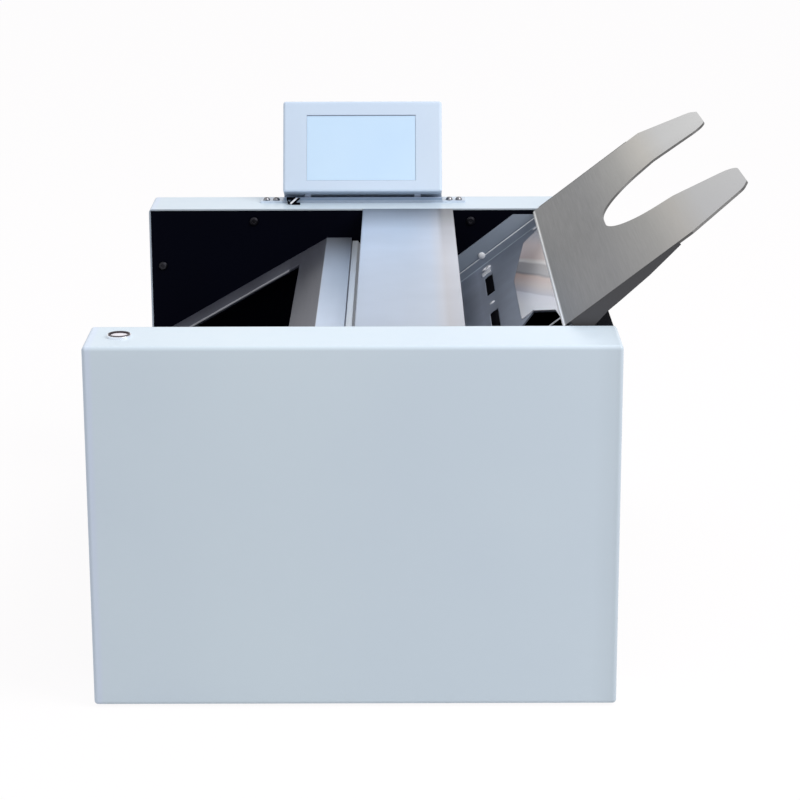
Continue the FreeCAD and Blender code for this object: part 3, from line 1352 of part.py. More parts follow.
def z_cylinder(name, x, y, start, stop, radius):
    """Round solid along Z between two levels."""
    start = as_dim(start)
    item = doc.addObject("Part::Cylinder", name)
    bind(item, "Radius", radius)
    bind(item, "Height", as_dim(stop) - start)
    return place(item, (x, y, start))


def x_cylinder(name, y, z, start, stop, radius):
    """Round solid along X between two levels."""
    start = as_dim(start)
    item = doc.addObject("Part::Cylinder", name)
    bind(item, "Radius", radius)
    bind(item, "Height", as_dim(stop) - start)
    return place(item, (start, y, z), FreeCAD.Vector(0, 1, 0), 90)


stop_low = lower_bed_length + size.stop_low_gap
stop_idler_along = lower_bed_length - size.stop_idler_gap
stop_park = (size.stop_high + stop_low) / 2 + size.stop_past_middle
stop_plate_top = -size.stop_plate_drop + size.stop_plate_sheet
stop_bar_low = -size.stop_bar_drop - size.stop_bar_sheet
stop_pulley_low = -size.stop_belt_drop - pulley_width / 2
stop_rim_radius = size.stop_pulley_radius + size.pulley_flange


def make_stop_bracket(name, start, upright_start, holes):
    """Cross bracket under the lower bed: a flat plate between the frame plates and an upright."""
    body = doc.addObject("PartDesign::Body", name)
    plate = box_loop(start, start + size.stop_plate_length, -half_gap, half_gap)
    pad(body, "XY", -size.stop_plate_drop, stop_plate_top, [plate], holes)
    reach = half_gap - size.sheet * 2
    upright = box_loop(-reach, reach, -size.stop_plate_drop, -size.sheet - size.side_play)
    pad(body, "YZ", upright_start, upright_start + size.stop_plate_sheet, [upright])
    return body


def make_stop_frame():
    """Brackets, rods and idler pin that carry the sliding stop."""
    motor_hole = (-size.stop_motor_along, NOTHING, size.motor_boss_radius + size.running_play)
    upper = make_stop_bracket("Upper_bracket", -size.stop_high - size.stop_plate_length,
                              -size.stop_high - size.stop_plate_sheet, [motor_hole])
    lower = make_stop_bracket("Lower_bracket", -stop_low, -stop_low, [])
    pin = z_cylinder("Idler_pin", -stop_idler_along, NOTHING, stop_plate_top,
                     stop_pulley_low + pulley_width, size.idler_pin_radius)
    on_bed(group("stop_brackets", [upper, fuse([lower, pin])]))
    ends = (-stop_low + size.stop_plate_sheet, -size.stop_high - size.stop_plate_sheet)
    rods = [x_cylinder("Rod", size.stop_rod_y * side, -size.stop_rod_drop, *ends, size.stop_rod_radius)
            for side in (-1, 1)]
    on_bed(group("stop_rods", rods))


def make_stop_carriage():
    """Cross bar with its three fingers, and the blocks that run on the rods and grip the belt."""
    bar = new_body("stop_bar")
    half = size.stop_bar_width / 2
    plan = box_loop(-stop_park - half, -stop_park + half, -size.stop_bar_half, size.stop_bar_half)
    pad(bar, "XY", stop_bar_low, -size.stop_bar_drop, [plan])
    fingers = [centred_loop(-stop_park, size.stop_finger_pitch * row, size.stop_finger_depth,
                            size.stop_finger_width) for row in (-1, 0, 1)]
    pad(bar, "XY", -size.stop_bar_drop, size.stop_finger_rise, fingers)
    on_bed(bar)
    block_half = size.stop_block_width / 2
    x_span = (-stop_park - block_half, -stop_park + block_half)
    low = -size.stop_rod_drop - size.stop_rod_radius - size.stop_plate_sheet
    blocks = []
    for side in (-1, 1):
        middle = size.stop_rod_y * side
        solid = block("Block", x_span, (middle - block_half, middle + block_half), (low, stop_bar_low))
        bore = x_cylinder("Bore", middle, -size.stop_rod_drop, x_span[0] - size.overrun,
                          x_span[1] + size.overrun, size.stop_rod_radius + size.running_play)
        blocks.append(cut_away(solid, [bore]))
    grip_start = stop_rim_radius + size.side_play
    grip_low = -size.stop_belt_drop - size.belt_width / 2
    blocks.append(block("Grip", x_span, (grip_start, grip_start + size.stop_plate_sheet * 2),
                        (grip_low, stop_bar_low)))
    on_bed(group("stop_blocks", blocks))


def make_stop_drive():
    """Motor, pulleys and belt that slide the stop."""
    motor = new_body("stop_motor")
    along, drop = -size.stop_motor_along, -size.stop_plate_drop
    outline = centred_loop(along, NOTHING, size.stop_motor_width, size.stop_motor_width)
    pad(motor, "XY", drop - size.stop_motor_depth, drop, [outline])
    round_edges(motor, size.motor_corner,
                lambda edge: edge.BoundBox.ZLength > size.stop_motor_depth.value / 2)
    pad(motor, "XY", drop, stop_plate_top, circles=[(along, NOTHING, size.motor_boss_radius)])
    shaft_low = drop - size.motor_shaft_engaged
    hole = (along, NOTHING, size.motor_shaft_radius + size.thread_play)
    pocket(motor, "XY", shaft_low, stop_plate_top, circles=[hole])
    on_bed(motor)
    top = stop_pulley_low + pulley_width
    for label, place_x in (("stop_motor_pulley", along), ("stop_idler_pulley", -stop_idler_along)):
        rims = [z_cylinder("Rim", place_x, NOTHING, start, start + size.pulley_rim, stop_rim_radius)
                for start in (stop_pulley_low, top - size.pulley_rim)]
        track = z_cylinder("Track", place_x, NOTHING, stop_pulley_low, top, size.stop_pulley_radius)
        if label == "stop_motor_pulley":
            shaft = z_cylinder("Shaft", place_x, NOTHING, shaft_low + size.side_play, top,
                               size.motor_shaft_radius)
            pulley = fuse([track, shaft] + rims)
        else:
            bore = z_cylinder("Bore", place_x, NOTHING, stop_pulley_low - size.overrun,
                              top + size.overrun, size.idler_pin_radius + size.running_play)
            pulley = cut_away(fuse([track] + rims), [bore])
        on_bed(register(pulley, label))
    length = stop_idler_along - size.stop_motor_along
    belt = register(belt_ring(length, size.stop_pulley_radius, True), "stop_belt")
    base = world(-stop_idler_along, -size.stop_belt_drop - size.belt_width / 2)
    place(belt, (base[0], NOTHING, base[1]), Y_TURN, size.bed_angle)


make_stop_frame()
make_stop_carriage()
make_stop_drive()


def check_and_write():
    """Stop on any failed object or empty cut, then write one file per piece."""
    doc.recompute()
    for item in doc.Objects:
        failed = {"Invalid", "Error"} & set(item.State)
        if failed:
            raise RuntimeError("%s failed: %s" % (item.Label, item.State))
    for feature in cuts:
        before = feature.BaseFeature.Shape.Volume
        if before - feature.Shape.Volume < before * LEAST_CUT_SHARE:
            raise RuntimeError("%s cuts nothing in %s" % (feature.Name, feature.getParent().Label))
    for label, item in parts.items():
        shape = item.Shape
        if shape.isNull() or not shape.isValid():
            raise RuntimeError(label + " has no sound shape")
        shape.exportStep(os.path.join("parts", label + ".step"))
        box = shape.BoundBox
        print("%-26s solids %2d volume %9.0f  x %7.1f %7.1f  y %7.1f %7.1f  z %7.1f %7.1f" % (
            label, len(shape.Solids), shape.Volume, box.XMin, box.XMax, box.YMin, box.YMax,
            box.ZMin, box.ZMax))
    print(len(parts), "pieces")


os.makedirs("parts", exist_ok=True)
check_and_write()
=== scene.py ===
import math

import bmesh
import bpy
from mathutils import Matrix, Vector


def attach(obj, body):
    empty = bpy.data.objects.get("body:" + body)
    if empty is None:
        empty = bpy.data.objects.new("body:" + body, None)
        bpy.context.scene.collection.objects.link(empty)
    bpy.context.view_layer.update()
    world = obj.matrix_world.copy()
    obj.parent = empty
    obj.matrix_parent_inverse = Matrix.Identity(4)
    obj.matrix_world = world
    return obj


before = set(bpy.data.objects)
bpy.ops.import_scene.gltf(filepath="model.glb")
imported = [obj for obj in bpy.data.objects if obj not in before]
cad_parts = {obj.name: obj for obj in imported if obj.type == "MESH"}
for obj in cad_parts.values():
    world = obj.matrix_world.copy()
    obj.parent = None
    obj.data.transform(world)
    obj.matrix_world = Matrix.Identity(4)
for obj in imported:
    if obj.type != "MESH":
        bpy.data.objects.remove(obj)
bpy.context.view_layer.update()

# Looks of the desktop folding machine: X to the right, Y into the depth, Z up, all in metres.

BODY_TOP = 0.285
BODY_HALF_WIDTH = 0.200
SIDE_GAP_HALF = 0.230
COVER_RIM_FOOT = 0.270
COVER_RIM_TOP = 0.286
BED_ANGLE = math.radians(37.5)
BED_ZERO = Vector((0.057, 0.0, 0.1877))
UP_THE_BED = Vector((math.cos(BED_ANGLE), 0.0, math.sin(BED_ANGLE)))
OFF_THE_BED = Vector((-math.sin(BED_ANGLE), 0.0, math.cos(BED_ANGLE)))
PANEL_TILT = math.radians(22.0)
PANEL_FOOT = Vector((0.0, 0.250, 0.2974))
SCREEN_FOOT = 0.0108
SCREEN_TOP = 0.0738
SCREEN_HALF = 0.0515
SCREEN_MIDDLE = -0.0012
BUTTON_CENTRE = (-0.175, -0.261, 0.0)
BRACKET_HALF = 0.100
BRACKET_LIP_FOOT = 0.28735
BRACKET_LIP_TOP = 0.2896
HOUSING_RIM_FOOT = 0.2955
HOUSING_RIM_TOP = 0.2990
HOOD_WINDOW_EDGE = -0.0672
HOOD_STRIP_START = -0.0335
TOP_PLATE_WIDTH = 0.085
TOP_EDGE_START = 0.071
BED_LENGTH = 0.142
WALL_HEIGHT = 0.024
TRAY_START = 0.138
TRAY_END = 0.316
TRAY_FOOT_EDGE = 0.1405

# A noise gives values that mostly lie between these two.
NOISE_LOW = 0.3
NOISE_HIGH = 0.7

WHITE = (1.0, 1.0, 1.0, 1.0)
EVEN_SCALE = (1, 1, 1)
LINES_ALONG_Y = (1, 0.05, 1)
PEEL_SCALE = 900.0
PEEL_DEPTH = 0.00006
LINE_SCALE = 30.0
LINE_DEPTH = 0.00005

FLOOR_HALF = 15.0
FLOOR_GLOW = 1.065
FLOOR_GLOW_SHARE = 0.88
SOFT_LIGHT = 0.62
KEY_LAMP_PLACE = (1.5, -0.9, 1.9)
KEY_LAMP_TARGET = (0.0, 0.0, 0.2)
KEY_LAMP_WIDTH = 1.4
KEY_LAMP_POWER = 36.0

# Camera angles are in degrees, its lens and sensor in millimetres.
CAMERA_PLACE = (0.03510, -2.08015, 0.74102)
CAMERA_PITCH = 15.530
CAMERA_YAW = -0.007
CAMERA_ROLL = 0.150
CAMERA_LENS = 112.811
CAMERA_SENSOR = 36.0


# Materials

def linear(red, green, blue):
    """Linear colour of a screen colour given in steps from 0 to 255."""
    steps = [value / 255 for value in (red, green, blue)]
    return tuple(s / 12.92 if s <= 0.04045 else ((s + 0.055) / 1.055) ** 2.4 for s in steps) + (1.0,)


class Paint:
    """A material under construction, with short calls for its nodes."""

    def __init__(self, name, roughness, metallic=0.0, **inputs):
        self.material = bpy.data.materials.new(name)
        self.material.use_nodes = True
        self.tree = self.material.node_tree
        self.shader = self.tree.nodes["Principled BSDF"]
        self.shader.inputs["Roughness"].default_value = roughness
        self.shader.inputs["Metallic"].default_value = metallic
        for word, value in inputs.items():
            self.shader.inputs[word.replace("_", " ")].default_value = value
        self.place = self.node("ShaderNodeTexCoord").outputs["Object"]

    def node(self, kind, **settings):
        """New node with its settings."""
        made = self.tree.nodes.new(kind)
        for word, value in settings.items():
            setattr(made, word, value)
        return made

    def feed(self, made, word, value):
        """Set an input of a node, or link it where the value is a socket."""
        socket = made.inputs[word]
        if isinstance(value, bpy.types.NodeSocket):
            self.tree.links.new(value, socket)
        else:
            socket.default_value = value

    def stretched(self, scale=EVEN_SCALE, turn=(0, 0, 0), shift=(0, 0, 0)):
        """Object coordinates, scaled, turned and shifted."""
        made = self.node("ShaderNodeMapping")
        self.feed(made, "Vector", self.place)
        self.feed(made, "Scale", scale)
        self.feed(made, "Rotation", turn)
        self.feed(made, "Location", shift)
        return made.outputs["Vector"]

    def noise(self, vector, scale, detail=4.0, roughness=0.5):
        """Value of a noise at a vector."""
        made = self.node("ShaderNodeTexNoise")
        self.feed(made, "Vector", vector)
        self.feed(made, "Scale", scale)
        self.feed(made, "Detail", detail)
        self.feed(made, "Roughness", roughness)
        return made.outputs["Fac"]

    def ramp(self, value, stops):
        """Colour ramp; each stop holds a position and a colour."""
        made = self.node("ShaderNodeValToRGB")
        self.feed(made, "Fac", value)
        points = made.color_ramp.elements
        while len(points) < len(stops):
            points.new(0.5)
        for point, (position, colour) in zip(points, stops):
            point.position = position
            point.color = colour
        return made.outputs["Color"]

    def spread(self, value, low, high, start, stop):
        """Map a value from one range to another, held at its ends."""
        made = self.node("ShaderNodeMapRange")
        self.feed(made, "Value", value)
        self.feed(made, "From Min", low)
        self.feed(made, "From Max", high)
        self.feed(made, "To Min", start)
        self.feed(made, "To Max", stop)
        return made.outputs["Result"]

    def sway(self, noise, start, stop):
        """Map the usual span of a noise to a range."""
        return self.spread(noise, NOISE_LOW, NOISE_HIGH, start, stop)

    def split(self, vector):
        """X, Y and Z of a vector, by their letters."""
        made = self.node("ShaderNodeSeparateXYZ")
        self.feed(made, "Vector", vector)
        return made.outputs

    def mix(self, factor, first, second, blend="MIX"):
        """Mix of two colours; the node has its colours at sockets 6 and 7 and their mix at output 2."""
        made = self.node("ShaderNodeMix", data_type="RGBA", blend_type=blend)
        self.feed(made, 0, factor)
        self.feed(made, 6, first)
        self.feed(made, 7, second)
        return made.outputs[2]

    def times(self, first, second):
        """Product of two colours."""
        return self.mix(1.0, first, second, "MULTIPLY")

    def tinted(self, colour, shade):
        """A colour under the shade that a function works out, or as it is without one."""
        return self.times(colour, shade(self)) if shade else colour

    def colour(self, socket):
        """Use a colour as the base colour."""
        self.feed(self.shader, "Base Color", socket)

    def rough(self, socket):
        """Use a value as the roughness."""
        self.feed(self.shader, "Roughness", socket)

    def relief(self, height, strength, distance, rounding=0.0005):
        """Bump from a height, over edges that are rounded a little unless the rounding is zero."""
        bump = self.node("ShaderNodeBump")
        self.feed(bump, "Height", height)
        self.feed(bump, "Strength", strength)
        self.feed(bump, "Distance", distance)
        if rounding:
            soft = self.node("ShaderNodeBevel", samples=4)
            self.feed(soft, "Radius", rounding)
            self.feed(bump, "Normal", soft.outputs["Normal"])
        self.feed(self.shader, "Normal", bump.outputs["Normal"])


def powder_coat(name, light, dark, roughness=0.42, shade=None):
    """Satin powder coat with a fine peel and a very faint change of tone, under any painted light and
    shade that the shade function gives.
    """
    paint = Paint(name, roughness, Coat_Weight=0.15, Coat_Roughness=0.25)
    clouds = paint.noise(paint.stretched(), 4.0, 2.0)
    colour = paint.ramp(clouds, [(0.35, light), (0.65, dark)])
    paint.colour(paint.tinted(colour, shade))
    wear = paint.noise(paint.stretched(), 60.0)
    paint.rough(paint.sway(wear, roughness - 0.05, roughness + 0.06))
    peel = paint.noise(paint.stretched(), PEEL_SCALE, 2.0)
    paint.relief(peel, 0.12, PEEL_DEPTH)
    return paint.material


def sheet_metal(name, light, dark, roughness, grain, spangle, metallic):
    """Galvanised steel: fine rolling lines, cloudy tone and a spangle."""
    paint = Paint(name, roughness, metallic)
    clouds = paint.noise(paint.stretched(), 14.0, 3.0)
    tone = paint.ramp(clouds, [(NOISE_LOW, dark), (NOISE_HIGH, light)])
    cells = paint.node("ShaderNodeTexVoronoi")
    paint.feed(cells, "Vector", paint.stretched())
    paint.feed(cells, "Scale", 180.0)
    flakes = paint.spread(cells.outputs["Color"], 0.0, 1.0, 1.0 - spangle, 1.0)
    tone = paint.times(tone, flakes)
    lines = paint.noise(paint.stretched(grain), LINE_SCALE, 6.0, 0.7)
    paint.colour(paint.times(tone, paint.sway(lines, 0.9, 1.0)))
    paint.rough(paint.sway(lines, roughness - 0.05, roughness + 0.07))
    paint.relief(lines, 0.15, LINE_DEPTH)
    return paint.material


def black_coat(name, light, dark):
    """Matte black coat that shows little of its surroundings."""
    paint = Paint(name, 0.62, Specular_IOR_Level=0.03)
    clouds = paint.noise(paint.stretched(), 6.0, 3.0)
    paint.colour(paint.ramp(clouds, [(0.35, light), (0.65, dark)]))
    paint.relief(paint.noise(paint.stretched(), PEEL_SCALE, 2.0), 0.15, PEEL_DEPTH)
    return paint.material


def brushed_sheet(name, base, roughness, metallic, tone, lift=0.0):
    """Sheet with fine rolling lines along Y, under the painted light and shade that the caller works out.
    """
    # The emission is a painted glow in the sheet's own colour, as strong as lift.
    paint = Paint(name, roughness, metallic, Emission_Color=base, Emission_Strength=lift)
    lines = paint.noise(paint.stretched((1, 0.04, 1)), LINE_SCALE, 6.0, 0.7)
    shade = paint.sway(lines, 0.94, 1.02)
    clouds = paint.sway(paint.noise(paint.stretched(), 14.0, 3.0), 0.95, 1.03)
    colour = paint.times(base, tone(paint))
    colour = paint.times(colour, shade)
    paint.colour(paint.times(colour, clouds))
    paint.rough(paint.sway(lines, roughness - 0.05, roughness + 0.07))
    paint.relief(lines, 0.15, LINE_DEPTH)
    return paint.material


def grey(share):
    """Grey multiplier."""
    return (share, share, share, 1.0)


def along_axis(paint, letter, low, high, stops):
    """Tone that changes along one axis of the machine."""
    place = paint.split(paint.place)[letter]
    return paint.ramp(paint.spread(place, low, high, 0.0, 1.0), stops)


def across_gap(paint, stops):
    """Tone that changes from the front cover to the rear one."""
    return along_axis(paint, "Y", -SIDE_GAP_HALF, SIDE_GAP_HALF, stops)


def past(paint, letter, place, soft=0.0003):
    """Zero before a place along an axis of the machine and one after it."""
    here = paint.split(paint.place)[letter]
    return paint.spread(here, place - soft, place + soft, 0.0, 1.0)


def cover_painted_light_and_shade(paint):
    """Covers: black edges at the gap between them, painted light on the top, painted shade on the right
    rim and a lilac painted highlight on the left rim.
    """
    reach = SIDE_GAP_HALF + 0.010
    edges = along_axis(paint, "Y", -reach, reach, [
        (0.0, grey(1.0)), (0.0200, grey(1.0)), (0.0205, grey(0.004)), (0.9795, grey(0.004)),
        (0.9800, grey(1.0)), (1.0, grey(1.0))])
    # Painted light: the top of the covers is paler.
    level = along_axis(paint, "Z", COVER_RIM_FOOT, COVER_RIM_TOP, [
        (0.0, grey(0.875)), (0.85, grey(0.885)), (0.95, grey(1.0)), (1.0, grey(1.0))])
    # A lilac painted highlight on the left rim and painted shade on the right rim.
    width = along_axis(paint, "X", -BODY_HALF_WIDTH, BODY_HALF_WIDTH, [
        (0.0, linear(250, 250, 255)), (0.012, linear(250, 248, 255)), (0.02, grey(0.955)),
        (0.95, grey(0.955)), (0.985, grey(0.90)), (1.0, grey(0.82))])
    return paint.times(paint.times(edges, level), width)


def bracket_painted_shade(paint):
    """Bracket: pale like the covers, with painted shade under the panel and on its lips, and a painted
    highlight along the lips' top edge.
    """
    # Painted shade under the panel.
    under = linear(206, 210, 216)
    flat = along_axis(paint, "X", -BRACKET_HALF, BRACKET_HALF, [
        (0.0, grey(1.0)), (0.115, grey(1.0)), (0.125, under), (0.875, under), (0.885, grey(1.0)),
        (1.0, grey(1.0))])
    # Painted shade on the lip's front face, with a painted highlight along its top edge.
    lip = paint.mix(past(paint, "Z", BRACKET_LIP_TOP), linear(166, 178, 192), linear(226, 230, 240))
    return paint.mix(past(paint, "Z", BRACKET_LIP_FOOT), flat, lip)


def housing_painted_shade(paint):
    """Panel housing: painted shade along its lower rim."""
    return along_axis(paint, "Z", HOUSING_RIM_FOOT, HOUSING_RIM_TOP, [
        (0.0, grey(0.55)), (0.4, grey(0.6)), (0.75, grey(1.0)), (1.0, grey(1.0))])


def hood_painted_reflection(paint):
    """Painted reflection on the hood: grey on its rail and slope, pale on the flat strip at its upper end,
    with a painted highlight line across the rail.
    """
    rail_grey = linear(76, 78, 90)
    painted_edge_highlight = linear(214, 216, 222)
    # Painted reflection on the rail, with a thin painted highlight line near its rear end.
    rail = across_gap(paint, [
        (0.1, linear(88, 90, 102)), (0.5, rail_grey), (0.8895, rail_grey), (0.890, painted_edge_highlight),
        (0.893, painted_edge_highlight), (0.8935, linear(126, 128, 142)), (1.0, linear(120, 122, 136))])
    plain = across_gap(paint, [
        (0.1, linear(88, 90, 103)), (0.5, rail_grey), (0.80, linear(80, 82, 93)),
        (1.0, linear(116, 118, 131))])
    strip = across_gap(paint, [
        (0.1, linear(226, 237, 255)), (0.5, linear(197, 206, 222)), (0.87, linear(173, 181, 196)),
        (1.0, linear(160, 168, 182))])
    slope = paint.mix(past(paint, "X", HOOD_WINDOW_EDGE), rail, plain)
    return paint.mix(past(paint, "X", HOOD_STRIP_START), slope, strip)


def hood_sheet():
    """Exit hood: painted reflection, even grey on its slope and pale on the flat strip, with a clear edge
    at the window's rear end.
    """
    return brushed_sheet("hood_sheet", WHITE, 0.34, 0.55, hood_painted_reflection)


def guide_painted_light(paint):
    """Painted light and shade: white that turns grey towards the rear."""
    return across_gap(paint, [
        (0.1, linear(255, 255, 255)), (0.5, linear(236, 240, 250)), (1.0, linear(196, 202, 214))])


def guide_sheet():
    """Exit guide: pale upper strip with painted light, paler towards the front, and a faint painted glow.
    """
    return brushed_sheet("guide_sheet", (0.93, 0.97, 1.0, 1.0), 0.36, 0.35, guide_painted_light, 0.12)


def top_painted_light(paint):
    """Painted light and shade: darker rear end under the panel, a warm painted reflection on the right
    part and painted shade at the right edge.
    """
    # Painted light and shade along the depth, darkest at the rear end under the panel.
    depth = across_gap(paint, [
        (0.0, grey(0.80)), (0.35, grey(0.88)), (0.62, grey(1.0)), (0.8, grey(0.92)), (0.93, grey(0.55)),
        (1.0, grey(0.42))])
    # Warm painted reflection towards the right part.
    width = along_axis(paint, "X", 0.0, TOP_PLATE_WIDTH, [
        (0.0, linear(236, 241, 250)), (0.72, linear(244, 247, 253)), (0.86, linear(255, 246, 243)),
        (1.0, linear(255, 250, 250))])
    # Painted shade towards the rear of the right edge.
    edge = across_gap(paint, [
        (0.0, grey(0.9)), (0.5, grey(0.95)), (0.75, grey(0.75)), (1.0, grey(0.6))])
    depth = paint.mix(past(paint, "X", TOP_EDGE_START, 0.002), depth, paint.times(depth, edge))
    return paint.times(depth, width)


def top_sheet():
    """Top plate: pale with a warm painted reflection at its right edge and painted shade at its rear end.
    """
    return brushed_sheet("top_sheet", linear(214, 222, 234), 0.36, 0.6, top_painted_light)


def moulded(name, light, dark, roughness=0.5, grain_scale=1500.0, shade=None):
    """Moulded plastic with a fine grain, under any painted shade that the shade function gives."""
    paint = Paint(name, roughness)
    colour = paint.ramp(paint.noise(paint.stretched(), 9.0, 2.0), [(0.35, dark), (0.65, light)])
    paint.colour(paint.tinted(colour, shade))
    paint.relief(paint.noise(paint.stretched(), grain_scale, 2.0), 0.15, LINE_DEPTH)
    return paint.material


def machined(name, light, dark, roughness=0.3):
    """Turned or ground steel with fine lines."""
    paint = Paint(name, roughness, 1.0)
    lines = paint.noise(paint.stretched((1, 60, 1)), 40.0, 5.0, 0.65)
    paint.colour(paint.ramp(lines, [(NOISE_LOW, dark), (NOISE_HIGH, light)]))
    paint.relief(lines, 0.1, 0.00004)
    return paint.material


def rubber(name, dark, dusty, shine=0.2):
    """Matte black rubber, a little dusty."""
    paint = Paint(name, 0.75, Specular_IOR_Level=shine)
    dust = paint.noise(paint.stretched(), 220.0, 5.0)
    paint.colour(paint.ramp(dust, [(0.4, dark), (0.75, dusty)]))
    paint.relief(dust, 0.3, 0.0001)
    return paint.material


def bed_place(paint):
    """Distances up the bed, across it and above its surface, by the letters X, Y and Z."""
    along_zero = -BED_ZERO.dot(UP_THE_BED)
    above_zero = -BED_ZERO.dot(OFF_THE_BED)
    turned = paint.stretched(turn=(0, BED_ANGLE, 0), shift=(along_zero, 0, above_zero))
    return paint.split(turned)


def cloudy(paint, tone):
    """A tone under the soft clouds of galvanised sheet."""
    clouds = paint.noise(paint.stretched(), 24.0, 4.0)
    return paint.times(tone, paint.sway(clouds, 0.86, 1.05))


def bed_sheet():
    """Galvanised bed: deep blue grey, with painted light that makes it a little paler towards its foot and
    brightest in a band, and painted shade further up under the top plate.
    """
    paint = Paint("bed_sheet", 0.42, 0.5)
    along = bed_place(paint)["X"]
    # Painted light in a band partway up the bed and painted shade further up, under the top plate.
    tone = paint.ramp(paint.spread(along, 0.0, BED_LENGTH, 0.0, 1.0), [
        (0.0, linear(146, 155, 172)), (0.36, linear(158, 167, 186)), (0.45, linear(182, 191, 210)),
        (0.56, linear(138, 146, 162)), (1.0, linear(128, 136, 152))])
    lines = paint.noise(paint.stretched(LINES_ALONG_Y), LINE_SCALE, 6.0, 0.7)
    paint.colour(paint.times(cloudy(paint, tone), paint.sway(lines, 0.92, 1.0)))
    paint.relief(lines, 0.15, LINE_DEPTH)
    return paint.material


def wall_sheet():
    """Galvanised bed walls: paler than the bed, with painted highlights on a thin line at the foot and
    along the seam at the rail, and painted shade in a dark line just above the seam.
    """
    paint = Paint("wall_sheet", 0.42, 0.5)
    rise = bed_place(paint)["Z"]
    foot = linear(215, 226, 236)
    rail = linear(150, 160, 176)
    seam = linear(232, 236, 242)
    # Painted highlights on the thin foot line and along the seam, with painted shade in a dark line just
    # above the seam.
    tone = paint.ramp(paint.spread(rise, 0.0, WALL_HEIGHT, 0.0, 1.0), [
        (0.0, foot), (0.02, foot), (0.035, rail), (0.272, rail), (0.278, seam), (0.305, seam),
        (0.315, linear(110, 120, 134)), (0.36, linear(156, 167, 182)), (1.0, linear(158, 169, 184))])
    paint.colour(cloudy(paint, tone))
    paint.relief(paint.noise(paint.stretched((1, 1, 0.05)), 60.0, 4.0), 0.12, LINE_DEPTH)
    return paint.material


def ring_metal():
    """Start button's ring: a painted highlight on its rim round painted shade in the groove."""
    paint = Paint("button_ring", 0.16, 1.0)
    flat = paint.node("ShaderNodeVectorMath", operation="MULTIPLY")
    paint.feed(flat, 0, paint.place)
    paint.feed(flat, 1, (1.0, 1.0, 0.0))
    far = paint.node("ShaderNodeVectorMath", operation="DISTANCE")
    paint.feed(far, 0, flat.outputs["Vector"])
    paint.feed(far, 1, BUTTON_CENTRE)
    groove, rim = 0.007, 0.009
    # Painted shade in the groove, turning to a painted highlight on the rim.
    paint.colour(paint.ramp(paint.spread(far.outputs["Value"], groove, rim, 0.0, 1.0), [
        (0.0, linear(58, 50, 54)), (0.50, linear(120, 112, 114)), (0.62, linear(238, 238, 244)),
        (1.0, linear(246, 246, 250))]))
    paint.relief(paint.noise(paint.stretched(), 300.0, 2.0), 0.02, 0.00002)
    return paint.material


def tray_painted_reflection(paint, along, across):
    """Painted reflection on the tray's flat sides: a painted highlight on the foot edge, a dark near part,
    paler prongs, and painted shade towards the rear side near the foot.
    """
    painted_foot_highlight = linear(255, 255, 255)
    tone = paint.ramp(paint.spread(along, TRAY_START, TRAY_END, 0.0, 1.0), [
        (0.0, painted_foot_highlight), (0.017, painted_foot_highlight), (0.021, linear(92, 92, 94)),
        (0.04, linear(99, 99, 101)), (0.30, linear(106, 106, 108)), (0.52, linear(142, 140, 136)),
        (0.66, linear(178, 174, 167)), (0.78, linear(190, 190, 190)), (1.0, linear(202, 202, 202))])
    side = paint.spread(across, -0.22, 0.22, 0.0, 1.0)
    tone = paint.times(tone, paint.ramp(side, [
        (0.0, linear(228, 228, 231)), (0.5, linear(232, 232, 232)), (0.8, linear(250, 250, 250)),
        (1.0, linear(246, 246, 246))]))
    # Painted shade near the foot, darker towards the rear side.
    painted_low_shade = paint.times(tone, paint.ramp(side, [
        (0.0, grey(1.0)), (0.15, grey(0.98)), (0.5, grey(0.65)), (1.0, grey(0.52))]))
    return paint.mix(paint.spread(along, 0.175, 0.240, 1.0, 0.0), tone, painted_low_shade)


def cut_edge_shade(paint, along, tone):
    """The tone, with painted shade on the cut edges of the sheet past its foot."""
    facing = paint.node("ShaderNodeVectorMath", operation="DOT_PRODUCT")
    paint.feed(facing, 0, paint.node("ShaderNodeNewGeometry").outputs["True Normal"])
    paint.feed(facing, 1, OFF_THE_BED)
    flatness = paint.node("ShaderNodeMath", operation="ABSOLUTE")
    paint.feed(flatness, 0, facing.outputs["Value"])
    on_edge = paint.spread(flatness.outputs["Value"], 0.3, 0.6, 1.0, 0.0)
    dark = paint.mix(on_edge, tone, linear(96, 95, 95))
    return paint.mix(paint.spread(along, 0.150, 0.155, 0.0, 1.0), tone, dark)


def tray_steel():
    """Brushed stainless tray with painted reflection: darker and satin near its foot, paler on the prongs,
    with a painted highlight and painted glow on the foot edge.
    """
    paint = Paint("tray_steel", 0.34, 1.0, Emission_Color=WHITE)
    place = bed_place(paint)
    along, across = place["X"], place["Y"]
    tone = cut_edge_shade(paint, along, tray_painted_reflection(paint, along, across))
    grain = paint.node("ShaderNodeCombineXYZ")
    paint.feed(grain, "X", along)
    paint.feed(grain, "Y", paint.spread(across, -1.0, 1.0, -0.02, 0.02))
    lines = paint.noise(grain.outputs["Vector"], 700.0, 5.0, 0.7)
    paint.colour(paint.times(tone, paint.sway(lines, 0.955, 1.03)))
    paint.rough(paint.sway(lines, 0.31, 0.38))
    # Painted glow along the foot edge.
    glow = paint.spread(along, TRAY_FOOT_EDGE, TRAY_FOOT_EDGE + 0.0007, 0.16, 0.0)
    paint.feed(paint.shader, "Emission Strength", glow)
    paint.relief(lines, 0.05, 0.00002, 0.0)
    return paint.material


